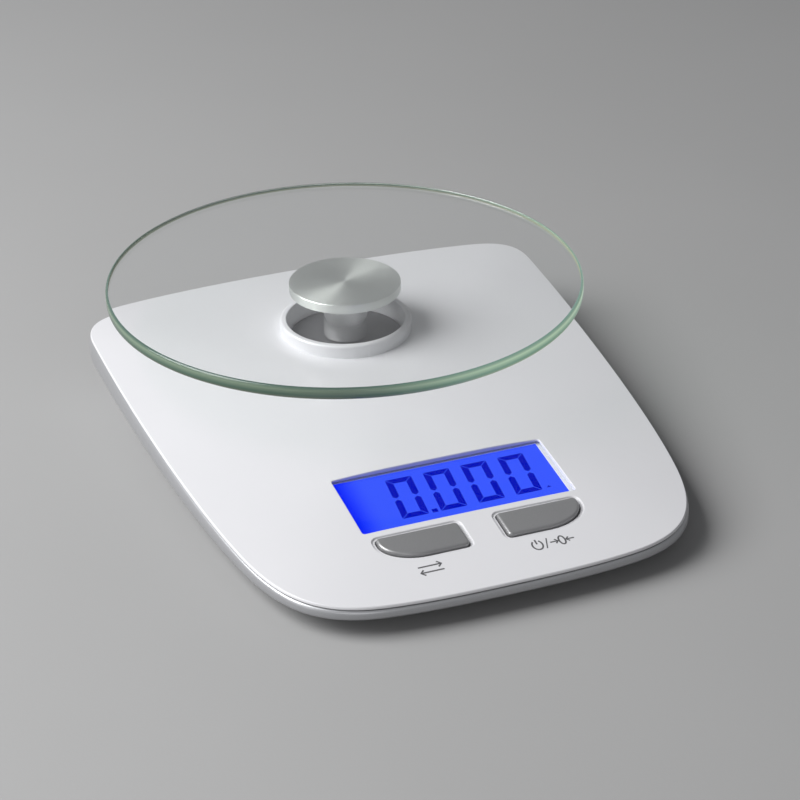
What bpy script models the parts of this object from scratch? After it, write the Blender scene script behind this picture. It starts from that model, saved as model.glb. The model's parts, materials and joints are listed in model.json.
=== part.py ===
"""Digital kitchen scale: a round glass platter on a hub, over a wedge-shaped two-part housing.

Lengths are in millimetres and become metres where an object is made. X runs to the right, +Y to the back
and +Z up. The feet stand on z = 0. Sub-parts are modelled about the hub's axis, and the empty named
hub_frame puts that axis where the scale's bounding box is centred on the world origin.
"""

import math

import bmesh
import bpy
import numpy as np
from mathutils import Matrix, Vector

MM = 0.001
GAP = 0.3

# Platter and hub
SCALE_HEIGHT = 44.5
GLASS_RADIUS = 80.0
GLASS_THICKNESS = 4.0
GLASS_EDGE = 1.1
DISC_RADIUS = 18.8
DISC_THICKNESS = 3.2
DISC_BOSS_RADIUS = 4.0
DISC_BOSS_LENGTH = 6.0
POST_RADIUS = 7.4
CARRIER_RADIUS = 19.2
CARRIER_TOP = 20.4
CARRIER_DISC_THICKNESS = 2.0
CARRIER_BOTTOM = 15.6
CARRIER_HUB_RADIUS = 12.0
HUB_THREAD_RADIUS = 1.9
DISC_TOP = SCALE_HEIGHT - GLASS_THICKNESS - GAP
DISC_BOTTOM = DISC_TOP - DISC_THICKNESS
DISC_BOSS_BOTTOM = DISC_BOTTOM - DISC_BOSS_LENGTH

# Housing outline about the hub's axis, right half, from the middle of the back to the middle of the front.
# Each stretch is a Bezier curve: start, two pulls, end, number of steps.
HALF_OUTLINE = (
    ((0.0, 50.0), (22.0, 50.0), (44.0, 49.2), (64.0, 46.5), 4),
    ((64.0, 46.5), (75.0, 45.0), (80.8, 41.0), (80.8, 30.0), 5),
    ((80.8, 30.0), (80.8, -15.0), (77.5, -75.0), (71.5, -107.0), 8),
    ((71.5, -107.0), (67.2, -130.0), (59.0, -140.5), (40.0, -143.5), 8),
    ((40.0, -143.5), (27.0, -145.4), (13.0, -145.5), (0.0, -145.5), 4),
)
HOUSING_MIDDLE_Y = -48.0
HOUSING_FRONT = 145.5

# Housing heights: the seam rises evenly to the back, and the cover is a shallow dome over it
SEAM_HEIGHT = 18.6
SEAM_SLOPE = 0.0653
SEAM_GAP = 0.35
COVER_EDGE = 0.9
COVER_CROWN = 4.8
COVER_CROWN_POWER = 1.65
COVER_WALL = 2.0
THROUGH_COVER = (-8, 4)
LIP_LENGTH = 1.6
LIP_INSETS = (2.2, 3.6)
COVER_INNER_INSET = 3.8
SHELL_BULGE = 0.7

# Rings of the cover's top face, as shares of the outline
COVER_RINGS = (0.25, 0.5, 0.72, 0.88)

# Sections of the shell, from the underside up the outer face and from the rim down the inner face. Each row
# is the inset from the outline, the share of the way down from the rim to the underside, and a lift.
SHELL_OUTER = (
    (13.0, 1.0, 0.0),
    (11.0, 0.95, 0.0),
    (6.0, 0.78, 0.0),
    (2.2, 0.58, 0.0),
    (0.3, 0.48, 0.0),
    (0.1 - SHELL_BULGE, 0.35, 0.0),
    (-SHELL_BULGE, 0.22, 0.0),
    (0.25 - SHELL_BULGE, 0.1, 0.0),
    (0.1, 0.0, 0.0),
)
SHELL_INNER = (
    (1.9, 0.0, 0.0),
    (1.9, 0.33, 0.0),
    (3.4, 0.58, 1.9),
    (6.6, 0.78, 2.0),
    (11.4, 0.95, 2.0),
)
SHELL_FLOOR_INSET = 13.5
UNDERSIDE = 2.0
SHELL_FLOOR = 2.0
INNER_FLOOR = UNDERSIDE + SHELL_FLOOR

# Collar round the hub
COLLAR_RADIUS = 22.3
COLLAR_BORE = 20.1
COLLAR_TOP = 26.9
COLLAR_BOTTOM = 17.8

# Display and buttons, in a plane that touches the cover's dome at the middle of the window
DISPLAY_Y = -96.7
WINDOW_HALF_WIDTH = 34.9
WINDOW_HALF_DEPTH = 14.4
DISPLAY_MARGINS = (2.6, 2.2)
POCKET_MARGINS = (3.4, 2.9)
CONNECTOR_DEPTH = 3.2
LENS_TOP = -1.8
LENS_THICKNESS = 0.6
PANEL_TOP = -2.7
PANEL_THICKNESS = 1.4
BACKLIGHT_TOP = -4.4
BACKLIGHT_THICKNESS = 2.1
BOARD_TOP = -6.8
BOARD_THICKNESS = 1.2
BOARD_BOTTOM = BOARD_TOP - BOARD_THICKNESS
BOARD_HALF_WIDTH = 39.0
BOARD_FRONT = -31.0
BOARD_BACK = 23.0
BUTTON_INNER = 6.3
BUTTON_OUTER = 32.6
BUTTON_BACK = -18.4
BUTTON_FRONT = -29.4
BUTTON_CORNER = 1.2
BUTTON_SWEEP = (13.0, 8.6)
BUTTON_PROUD = 0.5
BUTTON_FLANGE_TOP = -2.4
BUTTON_FLANGE = 0.9
BUTTON_BOTTOM = -3.1
BUTTON_CLEARANCE = 0.45
BEZEL_WIDTH = 1.3
BEZEL_DEPTH = 0.5
SWITCH_X = 19.5
SWITCH_V = -23.9
SWITCH_TOP = -3.9
PLUNGER_TOP = -3.4
PLUNGER_RADIUS = 1.7
SWITCH_HALF_WIDTH = 3.0
CHIP_X = (-15.0, -5.0)
CHIP_V = (4.0, 14.0)
CHIP_HEIGHT = 1.5
CAPACITOR_PLACE = (16.0, 11.0, 0.0)
CAPACITOR_RADIUS = 2.5
CAPACITOR_HEIGHT = 4.4
CRYSTAL_PLACE = (3.0, 10.0, 0.0)
CRYSTAL_HALF_LENGTH = 4.6
CRYSTAL_RADIUS = 1.9
CRYSTAL_HEIGHT = 3.2

# Load cell
BEAM_HALF_WIDTH = 6.35
BEAM_BOTTOM = 7.0
BEAM_HEIGHT = 8.0
BEAM_TOP = BEAM_BOTTOM + BEAM_HEIGHT
BEAM_BACK = 12.5
BEAM_FRONT = -67.5
FREE_END_SCREWS_Y = (7.5, -7.5)
FIXED_END_SCREWS_Y = (-47.5, -62.5)
GAUGE_HOLES_Y = (-19.0, -33.0)
GAUGE_HOLE_RADIUS = 2.9
SCREW_CLEARANCE_RADIUS = 2.0
PAD_TOP = 5.2
PAD_HALF_WIDTH = 8.5
PAD_BACK = -40.5
OVERLOAD_STOP_RADIUS = 2.2
OVERLOAD_STOP_GAP = 0.6
PLATE_THICKNESS = 1.2
PLATE_HALF_WIDTH = 7.5
PLATE_BACK = -41.5
GAUGE_NECK = 0.9
GAUGE_COVER_HALF_WIDTH = 5.0
GAUGE_COVER_Y = (-37.0, -15.0)
GAUGE_COVER_THICKNESS = 1.0

# Two AAA cells side by side
CELL_RADIUS = 5.2
CELL_LENGTH = 44.5
CELL_NUB = 1.0
CELL_Z = 9.15
CELLS_X = (32.2, 43.8)
BAY_X = (26.0, 50.0)
BAY_Y = (-46.0, 6.0)
BAY_CEILING = 14.7
BAY_WALL = 1.4
CONTACT_THICKNESS = 0.5
CONTACT_HALF_WIDTH = 5.0
CONTACT_HALF_HEIGHT = 4.2
SPRING_TURNS = 3.5
SPRING_STEPS = 12
SPRING_WIRE_RADIUS = 0.3
SPRING_WIRE_SIDES = 6
SPRING_RADII = (3.4, 2.4)
SPRING_END_GAP = 0.65

# Battery door: it swings about the shell's edge behind its two tabs
DOOR_X = (25.4, 50.6)
DOOR_FRONT = -51.6
DOOR_THICKNESS = 1.6
DOOR_PIVOT_Y = 12.0
DOOR_CLEARANCE = 0.4
TAB_HALF_WIDTH = 2.5
TAB_TOP = 1.4
TONGUE_HALF_WIDTH = 4.0
TONGUE_TOP = 4.0
NOTCH_RADIUS = 7.0
NOTCH_DEPTH = 1.0
NOTCH_AHEAD = 2.6

# Screws: head radius and shank radius
HUB_SCREW = (3.0, 1.5)
BEAM_SCREW = (3.2, 1.6)
HOUSING_SCREW = (2.9, 1.3)
BOARD_SCREW = (2.1, 1.0)

# Fasteners and feet: a thread hole is its radius and depth, and a seat is the counterbore's radius and top
# and the bore's radius
HOUSING_SCREWS = ((60.0, 6.0), (-60.0, 6.0), (54.0, -100.0), (-54.0, -100.0))
HOUSING_HEAD_LOW = 3.4
HOUSING_HEAD_HIGH = 5.3
BOSS_SPLIT = 8.0
COVER_BOSS_RADIUS = 3.6
SHELL_BOSS_RADIUS = 4.6
HOUSING_THREAD_HOLE = (1.6, 4.4)
HOUSING_SEAT = (3.5, 5.6, 1.7)
BEAM_SEAT_RADIUS = 3.6
BOARD_SCREWS = ((36.5, 20.0), (0.0, 20.0), (-36.5, 20.0))
BOARD_PEGS = ((36.5, -27.5), (-36.5, -27.5))
BOARD_POST_RADIUS = 2.2
BOARD_POST_TOP = -1.6
BOARD_HOLE_RADIUS = 1.3
BOARD_HOLE_TOP = -3.6
PEG_RADIUS = 1.2
FEET = {
    "foot_back_right": (58.0, 26.0),
    "foot_back_left": (-58.0, 26.0),
    "foot_front_right": (48.0, -118.0),
    "foot_front_left": (-48.0, -118.0),
}
FOOT_RADIUS = 5.0
FOOT_TOP = 2.6

HUB_Y = (HOUSING_FRONT + SHELL_BULGE - GLASS_RADIUS) / 2

# Colour, roughness and metallic value of each finish
FINISHES = {
    "clear_glass": ((0.80, 0.93, 0.88), 0.05, 0.0),
    "brushed_aluminium": ((0.62, 0.64, 0.62), 0.32, 1.0),
    "bare_aluminium": ((0.55, 0.56, 0.57), 0.45, 1.0),
    "silver_post": ((0.60, 0.61, 0.62), 0.30, 1.0),
    "dark_plastic": ((0.08, 0.08, 0.085), 0.50, 0.0),
    "white_gloss": ((0.84, 0.84, 0.85), 0.18, 0.0),
    "silver_plastic": ((0.55, 0.56, 0.58), 0.35, 0.0),
    "grey_plastic": ((0.22, 0.22, 0.23), 0.35, 0.0),
    "clear_plastic": ((0.90, 0.92, 0.95), 0.08, 0.0),
    "blue_panel": ((0.05, 0.09, 0.90), 0.20, 0.0),
    "white_plastic": ((0.80, 0.80, 0.80), 0.45, 0.0),
    "steel": ((0.50, 0.50, 0.52), 0.30, 1.0),
    "green_board": ((0.02, 0.16, 0.07), 0.40, 0.0),
    "black_epoxy": ((0.02, 0.02, 0.02), 0.45, 0.0),
    "black_rubber": ((0.03, 0.03, 0.03), 0.80, 0.0),
    "white_silicone": ((0.75, 0.75, 0.72), 0.60, 0.0),
    "cell_wrap": ((0.10, 0.11, 0.13), 0.30, 0.2),
    "red_insulation": ((0.45, 0.02, 0.02), 0.50, 0.0),
    "black_insulation": ((0.03, 0.03, 0.03), 0.50, 0.0),
    "nickel": ((0.62, 0.60, 0.56), 0.25, 1.0),
}


# ---------------------------------------------------------------- bodies

def bridge(bm, first, second):
    """Faces between two rings; a ring of one vertex is a pole."""
    count = max(len(first), len(second))
    for i in range(count):
        j = (i + 1) % count
        low = [first[i % len(first)], first[j % len(first)]]
        high = [second[j % len(second)], second[i % len(second)]]
        bm.faces.new(list(dict.fromkeys(low + high)))


def loft(rings, closed=False):
    """A solid through rings of points: open and capped, or closed with its last ring joined to its first."""
    bm = bmesh.new()
    loops = [[bm.verts.new(point) for point in ring] for ring in rings]
    for first, second in zip(loops, loops[1:]):
        bridge(bm, first, second)
    if closed:
        bridge(bm, loops[-1], loops[0])
    else:
        for loop in (loops[0], loops[-1]):
            if len(loop) > 2:
                bm.faces.new(loop)
    bmesh.ops.recalc_face_normals(bm, faces=bm.faces)
    return bm


def circle(radius, z, segments, centre=(0.0, 0.0)):
    if radius == 0:
        return [(centre[0], centre[1], z)]
    turn = 2 * math.pi / segments
    return [
        (centre[0] + radius * math.cos(i * turn), centre[1] + radius * math.sin(i * turn), z)
        for i in range(segments)
    ]


def turned(profile, segments=16, centre=(0.0, 0.0), closed=False):
    """A solid of revolution about a vertical axis, from (radius, z) points."""
    return loft([circle(radius, z, segments, centre) for radius, z in profile], closed)


def cylinder(radius, low, high, centre=(0.0, 0.0), segments=16):
    return turned(((radius, low), (radius, high)), segments, centre)


def prism(outline, low, high):
    """An outline of (x, y) points between two heights."""
    return loft([[(x, y, low) for x, y in outline], [(x, y, high) for x, y in outline]])


def block(x_range, y_range, z_range):
    (x0, x1), (y0, y1) = x_range, y_range
    return prism(((x0, y0), (x1, y0), (x1, y1), (x0, y1)), *z_range)


def group(bodies):
    """Several separate bodies in one."""
    joined = bmesh.new()
    for body in bodies:
        mesh = bpy.data.meshes.new("group")
        body.to_mesh(mesh)
        joined.from_mesh(mesh)
        bpy.data.meshes.remove(mesh)
        body.free()
    return joined


def moved(body, matrix):
    bmesh.ops.transform(body, matrix=matrix, verts=body.verts)
    return body


def arc(centre, radii, start, end, steps):
    """Points on a quarter of an ellipse or less, with angles in degrees."""
    angles = [math.radians(start + (end - start) * i / steps) for i in range(steps + 1)]
    return [(centre[0] + radii[0] * math.cos(a), centre[1] + radii[1] * math.sin(a)) for a in angles]


# ---------------------------------------------------------------- objects

def make_material(name, finish):
    colour, roughness, metallic = FINISHES[finish]
    material = bpy.data.materials.new(name)
    material.use_nodes = True
    shader = material.node_tree.nodes["Principled BSDF"]
    shader.inputs["Base Color"].default_value = (*colour, 1.0)
    shader.inputs["Roughness"].default_value = roughness
    shader.inputs["Metallic"].default_value = metallic
    if finish.startswith("clear"):
        shader.inputs["Transmission Weight"].default_value = 1.0
    return material


def add_empty(name, location, parent=None, tilt=0.0):
    empty = bpy.data.objects.new(name, None)
    bpy.context.collection.objects.link(empty)
    empty.location = Vector(location) * MM
    empty.rotation_euler.x = tilt
    empty.parent = parent
    return empty


def add_object(name, body, parent, location=(0.0, 0.0, 0.0)):
    mesh = bpy.data.meshes.new(name)
    bmesh.ops.scale(body, vec=(MM, MM, MM), verts=body.verts)
    body.to_mesh(mesh)
    body.free()
    mesh.shade_smooth()
    mesh.set_sharp_from_angle(angle=math.radians(35))
    obj = bpy.data.objects.new(name, mesh)
    bpy.context.collection.objects.link(obj)
    obj.location = Vector(location) * MM
    obj.parent = parent
    return obj


def add_part(name, body, finish, parent, location=(0.0, 0.0, 0.0)):
    part = add_object(name, body, parent, location)
    part.data.materials.append(make_material(name + "_finish", finish))
    return part


def shape_with(part, operation, body, parent):
    """Adds or cuts a body on a part with a Boolean modifier."""
    number = len(part.modifiers) + 1
    tool = add_object(f"{part.name}_tool_{number}", body, parent)
    tool.hide_render = True
    tool.display_type = "WIRE"
    modifier = part.modifiers.new(f"{operation.lower()}_{number}", "BOOLEAN")
    modifier.operation = operation
    modifier.object = tool
    modifier.solver = "EXACT"


def add_wire(name, points, radius, finish, parent):
    """An insulated lead along a smooth curve through hand-placed points."""
    curve = bpy.data.curves.new(name, "CURVE")
    curve.dimensions = "3D"
    curve.bevel_depth = radius * MM
    curve.bevel_resolution = 2
    curve.use_fill_caps = True
    route = smooth_route([Vector(point) for point in points])
    spline = curve.splines.new("POLY")
    spline.points.add(len(route) - 1)
    for target, point in zip(spline.points, route):
        target.co = (*(point * MM), 1.0)
    wire = bpy.data.objects.new(name, curve)
    bpy.context.collection.objects.link(wire)
    wire.data.materials.append(make_material(name + "_finish", finish))
    wire.parent = parent
    return wire


def smooth_route(points, steps=4):
    """Catmull-Rom curve through the points."""
    padded = [2 * points[0] - points[1], *points, 2 * points[-1] - points[-2]]
    route = []
    for a, b, c, d in zip(padded, padded[1:], padded[2:], padded[3:]):
        for i in range(steps):
            t = i / steps
            square = (2 * a - 5 * b + 4 * c - d) * t**2
            cube = (3 * b - a - 3 * c + d) * t**3
            route.append(0.5 * (2 * b + (c - a) * t + square + cube))
    return [*route, points[-1]]


# ---------------------------------------------------------------- housing surface

def bezier(start, pull_a, pull_b, end, steps):
    """Points on the curve, without its end point."""
    points = []
    for i in range(steps):
        t = i / steps
        weights = ((1 - t) ** 3, 3 * t * (1 - t) ** 2, 3 * t**2 * (1 - t), t**3)
        weighted = list(zip(weights, (start, pull_a, pull_b, end)))
        points.append(tuple(sum(weight * point[axis] for weight, point in weighted) for axis in (0, 1)))
    return points


def housing_outline():
    right = [point for stretch in HALF_OUTLINE for point in bezier(*stretch)] + [HALF_OUTLINE[-1][3]]
    left = [(-x, y) for x, y in right[-2:0:-1]]
    return right + left


OUTLINE = housing_outline()
OUTLINE_REACH = [math.hypot(x, y - HOUSING_MIDDLE_Y) for x, y in OUTLINE]
OUTLINE_ANGLE = [math.atan2(y - HOUSING_MIDDLE_Y, x) for x, y in OUTLINE]


def seam_height(y):
    return SEAM_HEIGHT + SEAM_SLOPE * y


def cover_height(x, y):
    """The top face of the cover."""
    angle = math.atan2(y - HOUSING_MIDDLE_Y, x)
    reach = float(np.interp(angle, *zip(*sorted(zip(OUTLINE_ANGLE, OUTLINE_REACH))), period=2 * math.pi))
    share = min(1.0, math.hypot(x, y - HOUSING_MIDDLE_Y) / reach)
    return seam_height(y) + COVER_EDGE + COVER_CROWN * (1 - share**COVER_CROWN_POWER)


def housing_ring(inset, height, scale=1.0):
    """The outline shrunk about its middle, at the height that a function of x and y gives."""
    points = []
    for (x, y), reach in zip(OUTLINE, OUTLINE_REACH):
        factor = scale - inset / reach
        ring_x = x * factor
        ring_y = HOUSING_MIDDLE_Y + (y - HOUSING_MIDDLE_Y) * factor
        points.append((ring_x, ring_y, height(ring_x, ring_y)))
    return points


def above_seam(rise):
    return lambda x, y: seam_height(y) + rise


def under_cover(depth):
    return lambda x, y: cover_height(x, y) - depth


def down_shell(share, lift):
    """A height that share of the way down from the shell's rim to its underside, raised by lift."""
    def height(x, y):
        rim = seam_height(y) - SEAM_GAP
        return max(rim - share * (rim - UNDERSIDE) + lift, UNDERSIDE)
    return height


def cover_middle(depth):
    return [(0.0, HOUSING_MIDDLE_Y, cover_height(0.0, HOUSING_MIDDLE_Y) - depth)]


DISPLAY_HEIGHT = cover_height(0.0, DISPLAY_Y)
DISPLAY_TILT = math.atan2(cover_height(0.0, DISPLAY_Y + 1) - cover_height(0.0, DISPLAY_Y - 1), 2.0)


# ---------------------------------------------------------------- platter

def make_glass_platter(parent):
    top, bottom = SCALE_HEIGHT, SCALE_HEIGHT - GLASS_THICKNESS
    profile = (
        (0, top),
        (GLASS_RADIUS - GLASS_EDGE, top),
        (GLASS_RADIUS - GLASS_EDGE * 0.25, top - GLASS_EDGE * 0.4),
        (GLASS_RADIUS, top - GLASS_EDGE * 1.2),
        (GLASS_RADIUS, bottom + GLASS_EDGE * 1.2),
        (GLASS_RADIUS - GLASS_EDGE * 0.25, bottom + GLASS_EDGE * 0.4),
        (GLASS_RADIUS - GLASS_EDGE, bottom),
        (0, bottom),
    )
    add_part("glass_platter", turned(profile, 96), "clear_glass", parent)


def make_hub_disc(parent):
    profile = (
        (0, DISC_TOP),
        (DISC_RADIUS - 0.3, DISC_TOP),
        (DISC_RADIUS, DISC_TOP - 0.3),
        (DISC_RADIUS, DISC_BOTTOM + 0.4),
        (DISC_RADIUS - 0.4, DISC_BOTTOM),
        (DISC_BOSS_RADIUS, DISC_BOTTOM),
        (DISC_BOSS_RADIUS, DISC_BOSS_BOTTOM),
        (HUB_THREAD_RADIUS, DISC_BOSS_BOTTOM),
        (HUB_THREAD_RADIUS, DISC_BOTTOM + 1.0),
        (0, DISC_BOTTOM + 1.0),
    )
    add_part("hub_disc", turned(profile, 48), "brushed_aluminium", parent)


def make_hub_post(parent):
    top, bottom = DISC_BOTTOM - GAP, CARRIER_TOP + GAP
    socket_floor = DISC_BOSS_BOTTOM - GAP
    profile = (
        (DISC_BOSS_RADIUS + GAP, top),
        (POST_RADIUS, top),
        (POST_RADIUS, bottom),
        (HUB_THREAD_RADIUS, bottom),
        (HUB_THREAD_RADIUS, socket_floor),
        (DISC_BOSS_RADIUS + GAP, socket_floor),
    )
    add_part("hub_post", turned(profile, 32, closed=True), "silver_post", parent)


def screw(size, head_low, head_high, tip, centre):
    """A pan-head screw that points up, with a driver socket in its head."""
    head_radius, shank_radius = size
    profile = (
        (0, head_low + 0.9),
        (head_radius * 0.45, head_low),
        (head_radius * 0.85, head_low),
        (head_radius, head_low + 0.5),
        (head_radius, head_high),
        (shank_radius, head_high),
        (shank_radius, tip - 0.6),
        (0, tip),
    )
    return turned(profile, 12, centre)


def make_platter_carrier(parent):
    disc_bottom = CARRIER_TOP - CARRIER_DISC_THICKNESS
    carrier = turned(
        (
            (0, CARRIER_TOP),
            (CARRIER_RADIUS, CARRIER_TOP),
            (CARRIER_RADIUS, disc_bottom),
            (CARRIER_HUB_RADIUS, disc_bottom),
            (CARRIER_HUB_RADIUS, CARRIER_BOTTOM),
            (0, CARRIER_BOTTOM),
        ),
        40,
    )
    part = add_part("platter_carrier", carrier, "dark_plastic", parent)
    hole_top = CARRIER_BOTTOM + 3.8
    hole_bottom = CARRIER_BOTTOM - 1
    holes = [cylinder(HUB_THREAD_RADIUS, hole_bottom, hole_top, (0, y), 12) for y in FREE_END_SCREWS_Y]
    head_room = turned(
        (
            (0, CARRIER_BOTTOM - 1),
            (3.4, CARRIER_BOTTOM - 1),
            (3.4, CARRIER_BOTTOM + 2.4),
            (HUB_THREAD_RADIUS, CARRIER_BOTTOM + 2.4),
            (HUB_THREAD_RADIUS, CARRIER_TOP + 1),
            (0, CARRIER_TOP + 1),
        ),
        16,
    )
    shape_with(part, "DIFFERENCE", group([*holes, head_room]), parent)


def make_hub_screws(parent):
    long_screw = screw(HUB_SCREW, CARRIER_BOTTOM + 0.3, CARRIER_BOTTOM + 2.1, DISC_BOTTOM - 0.5, (0, 0))
    add_part("hub_screw", long_screw, "steel", parent)
    for number, y in enumerate(FREE_END_SCREWS_Y, 1):
        short_screw = screw(BEAM_SCREW, BEAM_BOTTOM - 2.3, BEAM_BOTTOM - GAP, CARRIER_BOTTOM + 3.4, (0, y))
        add_part(f"free_end_screw_{number}", short_screw, "steel", parent)


# ---------------------------------------------------------------- load cell

def make_load_cell(parent):
    beam = block((-BEAM_HALF_WIDTH, BEAM_HALF_WIDTH), (BEAM_FRONT, BEAM_BACK), (BEAM_BOTTOM, BEAM_TOP))
    part = add_part("load_cell", beam, "bare_aluminium", parent)
    screws_y = FREE_END_SCREWS_Y + FIXED_END_SCREWS_Y
    bores = [cylinder(SCREW_CLEARANCE_RADIUS, BEAM_BOTTOM - 1, BEAM_TOP + 1, (0, y), 12) for y in screws_y]
    shape_with(part, "DIFFERENCE", group(bores), parent)
    shape_with(part, "DIFFERENCE", gauge_window(), parent)


def gauge_window():
    """The two linked holes that thin the beam where it bends."""
    back, front = GAUGE_HOLES_Y
    radius = GAUGE_HOLE_RADIUS
    reach = math.degrees(math.asin(GAUGE_NECK / radius))
    outline = arc((back, 0), (radius, radius), reach - 180, 180 - reach, 14)
    outline += arc((front, 0), (radius, radius), reach, 360 - reach, 14)
    middle = (BEAM_BOTTOM + BEAM_TOP) / 2
    width = BEAM_HALF_WIDTH + 1
    rings = [[(x, y, middle + z) for y, z in outline] for x in (-width, width)]
    return loft(rings)


def make_load_cell_mounting(parent):
    plate_bottom = PAD_TOP + GAP
    plate_x = (-PLATE_HALF_WIDTH, PLATE_HALF_WIDTH)
    plate = block(plate_x, (BEAM_FRONT - 1, PLATE_BACK), (plate_bottom, plate_bottom + PLATE_THICKNESS))
    part = add_part("load_cell_plate", plate, "steel", parent)
    holes = [cylinder(SCREW_CLEARANCE_RADIUS, PAD_TOP, BEAM_BOTTOM, (0, y), 12) for y in FIXED_END_SCREWS_Y]
    shape_with(part, "DIFFERENCE", group(holes), parent)
    for number, y in enumerate(FIXED_END_SCREWS_Y, 1):
        fixed_screw = screw(BEAM_SCREW, UNDERSIDE + 0.3, INNER_FLOOR + 0.1, BEAM_TOP - 1, (0, y))
        add_part(f"fixed_end_screw_{number}", fixed_screw, "steel", parent)
    patch_x = (-GAUGE_COVER_HALF_WIDTH, GAUGE_COVER_HALF_WIDTH)
    patch_bottom = BEAM_TOP + GAP
    patch = block(patch_x, GAUGE_COVER_Y, (patch_bottom, patch_bottom + GAUGE_COVER_THICKNESS))
    add_part("gauge_cover", patch, "white_silicone", parent)


# ---------------------------------------------------------------- top cover

def cover_body():
    lip_outside, lip_inside = LIP_INSETS
    rings = [cover_middle(0.0)]
    rings += [housing_ring(0.0, cover_height, scale) for scale in COVER_RINGS]
    rings += [
        housing_ring(0.9, cover_height),
        housing_ring(0.2, above_seam(COVER_EDGE * 0.75)),
        housing_ring(0.0, above_seam(COVER_EDGE * 0.4)),
        housing_ring(0.0, above_seam(0.0)),
        housing_ring(lip_outside, above_seam(0.0)),
        housing_ring(lip_outside, above_seam(-LIP_LENGTH)),
        housing_ring(lip_inside, above_seam(-LIP_LENGTH)),
        housing_ring(COVER_INNER_INSET, under_cover(COVER_WALL)),
    ]
    rings += [housing_ring(0.0, under_cover(COVER_WALL), scale) for scale in reversed(COVER_RINGS)]
    return loft([*rings, cover_middle(COVER_WALL)])


def collar_body():
    profile = (
        (0, COLLAR_TOP),
        (COLLAR_RADIUS - 0.8, COLLAR_TOP),
        (COLLAR_RADIUS - 0.2, COLLAR_TOP - 0.3),
        (COLLAR_RADIUS, COLLAR_TOP - 0.9),
        (COLLAR_RADIUS, COLLAR_BOTTOM),
        (0, COLLAR_BOTTOM),
    )
    return turned(profile, 48)


def button_outline(side, grow=0.0):
    """Button outline, grown outwards. side is 1 for the right-hand button and -1 for its mirror image."""
    inner, outer = BUTTON_INNER - grow, BUTTON_OUTER + grow
    back, front = BUTTON_BACK + grow, BUTTON_FRONT - grow
    small = BUTTON_CORNER + grow
    wide, deep = (reach + grow for reach in BUTTON_SWEEP)
    points = arc((inner + small, front + small), (small, small), 180, 270, 3)
    points += arc((outer - wide, front + deep), (wide, deep), 270, 360, 8)
    points += arc((outer - small, back - small), (small, small), 0, 90, 3)
    points += arc((inner + small, back - small), (small, small), 90, 180, 3)
    return [(side * x, y) for x, y in points]


def window_outline(grow=0.0):
    x, y, radius = WINDOW_HALF_WIDTH + grow, WINDOW_HALF_DEPTH + grow, 1.0
    corners = ((x, y, 0), (-x, y, 90), (-x, -y, 180), (x, -y, 270))
    points = []
    for corner_x, corner_y, start in corners:
        centre = (corner_x - math.copysign(radius, corner_x), corner_y - math.copysign(radius, corner_y))
        points += arc(centre, (radius, radius), start, start + 90, 2)
    return points


def board_peg(centre):
    """A post whose thin nib locates the board's front edge."""
    shoulder = BOARD_TOP + GAP
    profile = (
        (0, BOARD_POST_TOP),
        (BOARD_POST_RADIUS, BOARD_POST_TOP),
        (BOARD_POST_RADIUS, shoulder),
        (PEG_RADIUS, shoulder),
        (PEG_RADIUS, BOARD_BOTTOM),
        (0, BOARD_BOTTOM),
    )
    return turned(profile, 12, centre)


def make_top_cover(parent, display):
    part = add_part("top_cover", cover_body(), "white_gloss", parent)
    bosses = [
        cylinder(COVER_BOSS_RADIUS, BOSS_SPLIT + GAP, cover_height(x, y) - 1, (x, y), 12)
        for x, y in HOUSING_SCREWS
    ]
    shape_with(part, "UNION", group([collar_body(), *bosses]), parent)
    post_bottom = BOARD_TOP + GAP
    posts = [cylinder(BOARD_POST_RADIUS, post_bottom, BOARD_POST_TOP, centre, 12) for centre in BOARD_SCREWS]
    posts += [board_peg(centre) for centre in BOARD_PEGS]
    shape_with(part, "UNION", group(posts), display)
    cuts = [cylinder(COLLAR_BORE, COLLAR_BOTTOM - 1, COLLAR_TOP + 1, segments=48)]
    radius, depth = HOUSING_THREAD_HOLE
    cuts += [cylinder(radius, BOSS_SPLIT - 1, BOSS_SPLIT + depth, centre, 10) for centre in HOUSING_SCREWS]
    shape_with(part, "DIFFERENCE", group(cuts), parent)
    openings = [prism(window_outline(), *THROUGH_COVER)]
    openings += [prism(button_outline(side, BUTTON_CLEARANCE), *THROUGH_COVER) for side in (1, -1)]
    openings += [
        cylinder(BOARD_HOLE_RADIUS, BOARD_TOP - 1, BOARD_HOLE_TOP, centre, 8)
        for centre in BOARD_SCREWS
    ]
    shape_with(part, "DIFFERENCE", group(openings), display)
    recesses = [prism(button_outline(side, BEZEL_WIDTH), -BEZEL_DEPTH, 4) for side in (1, -1)]
    pocket_x = WINDOW_HALF_WIDTH + POCKET_MARGINS[0]
    pocket_y = WINDOW_HALF_DEPTH + POCKET_MARGINS[1]
    recesses.append(block((-pocket_x, pocket_x), (-pocket_y, pocket_y), (BOARD_TOP, LENS_TOP + GAP)))
    shape_with(part, "DIFFERENCE", group(recesses), display)


# ---------------------------------------------------------------- bottom shell

def shell_body():
    outer = [housing_ring(inset, down_shell(share, lift)) for inset, share, lift in SHELL_OUTER]
    inner = [housing_ring(inset, down_shell(share, lift)) for inset, share, lift in SHELL_INNER]
    inner.append(housing_ring(SHELL_FLOOR_INSET, lambda x, y: INNER_FLOOR))
    middle = (0.0, HOUSING_MIDDLE_Y)
    return loft([[(*middle, UNDERSIDE)], *outer, *inner, [(*middle, INNER_FLOOR)]])


def bay_walls():
    x = (BAY_X[0] - BAY_WALL, BAY_X[1] + BAY_WALL)
    y = (BAY_Y[0] - BAY_WALL, BAY_Y[1] + BAY_WALL)
    return block(x, y, (INNER_FLOOR - 1, BAY_CEILING + BAY_WALL))


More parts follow.
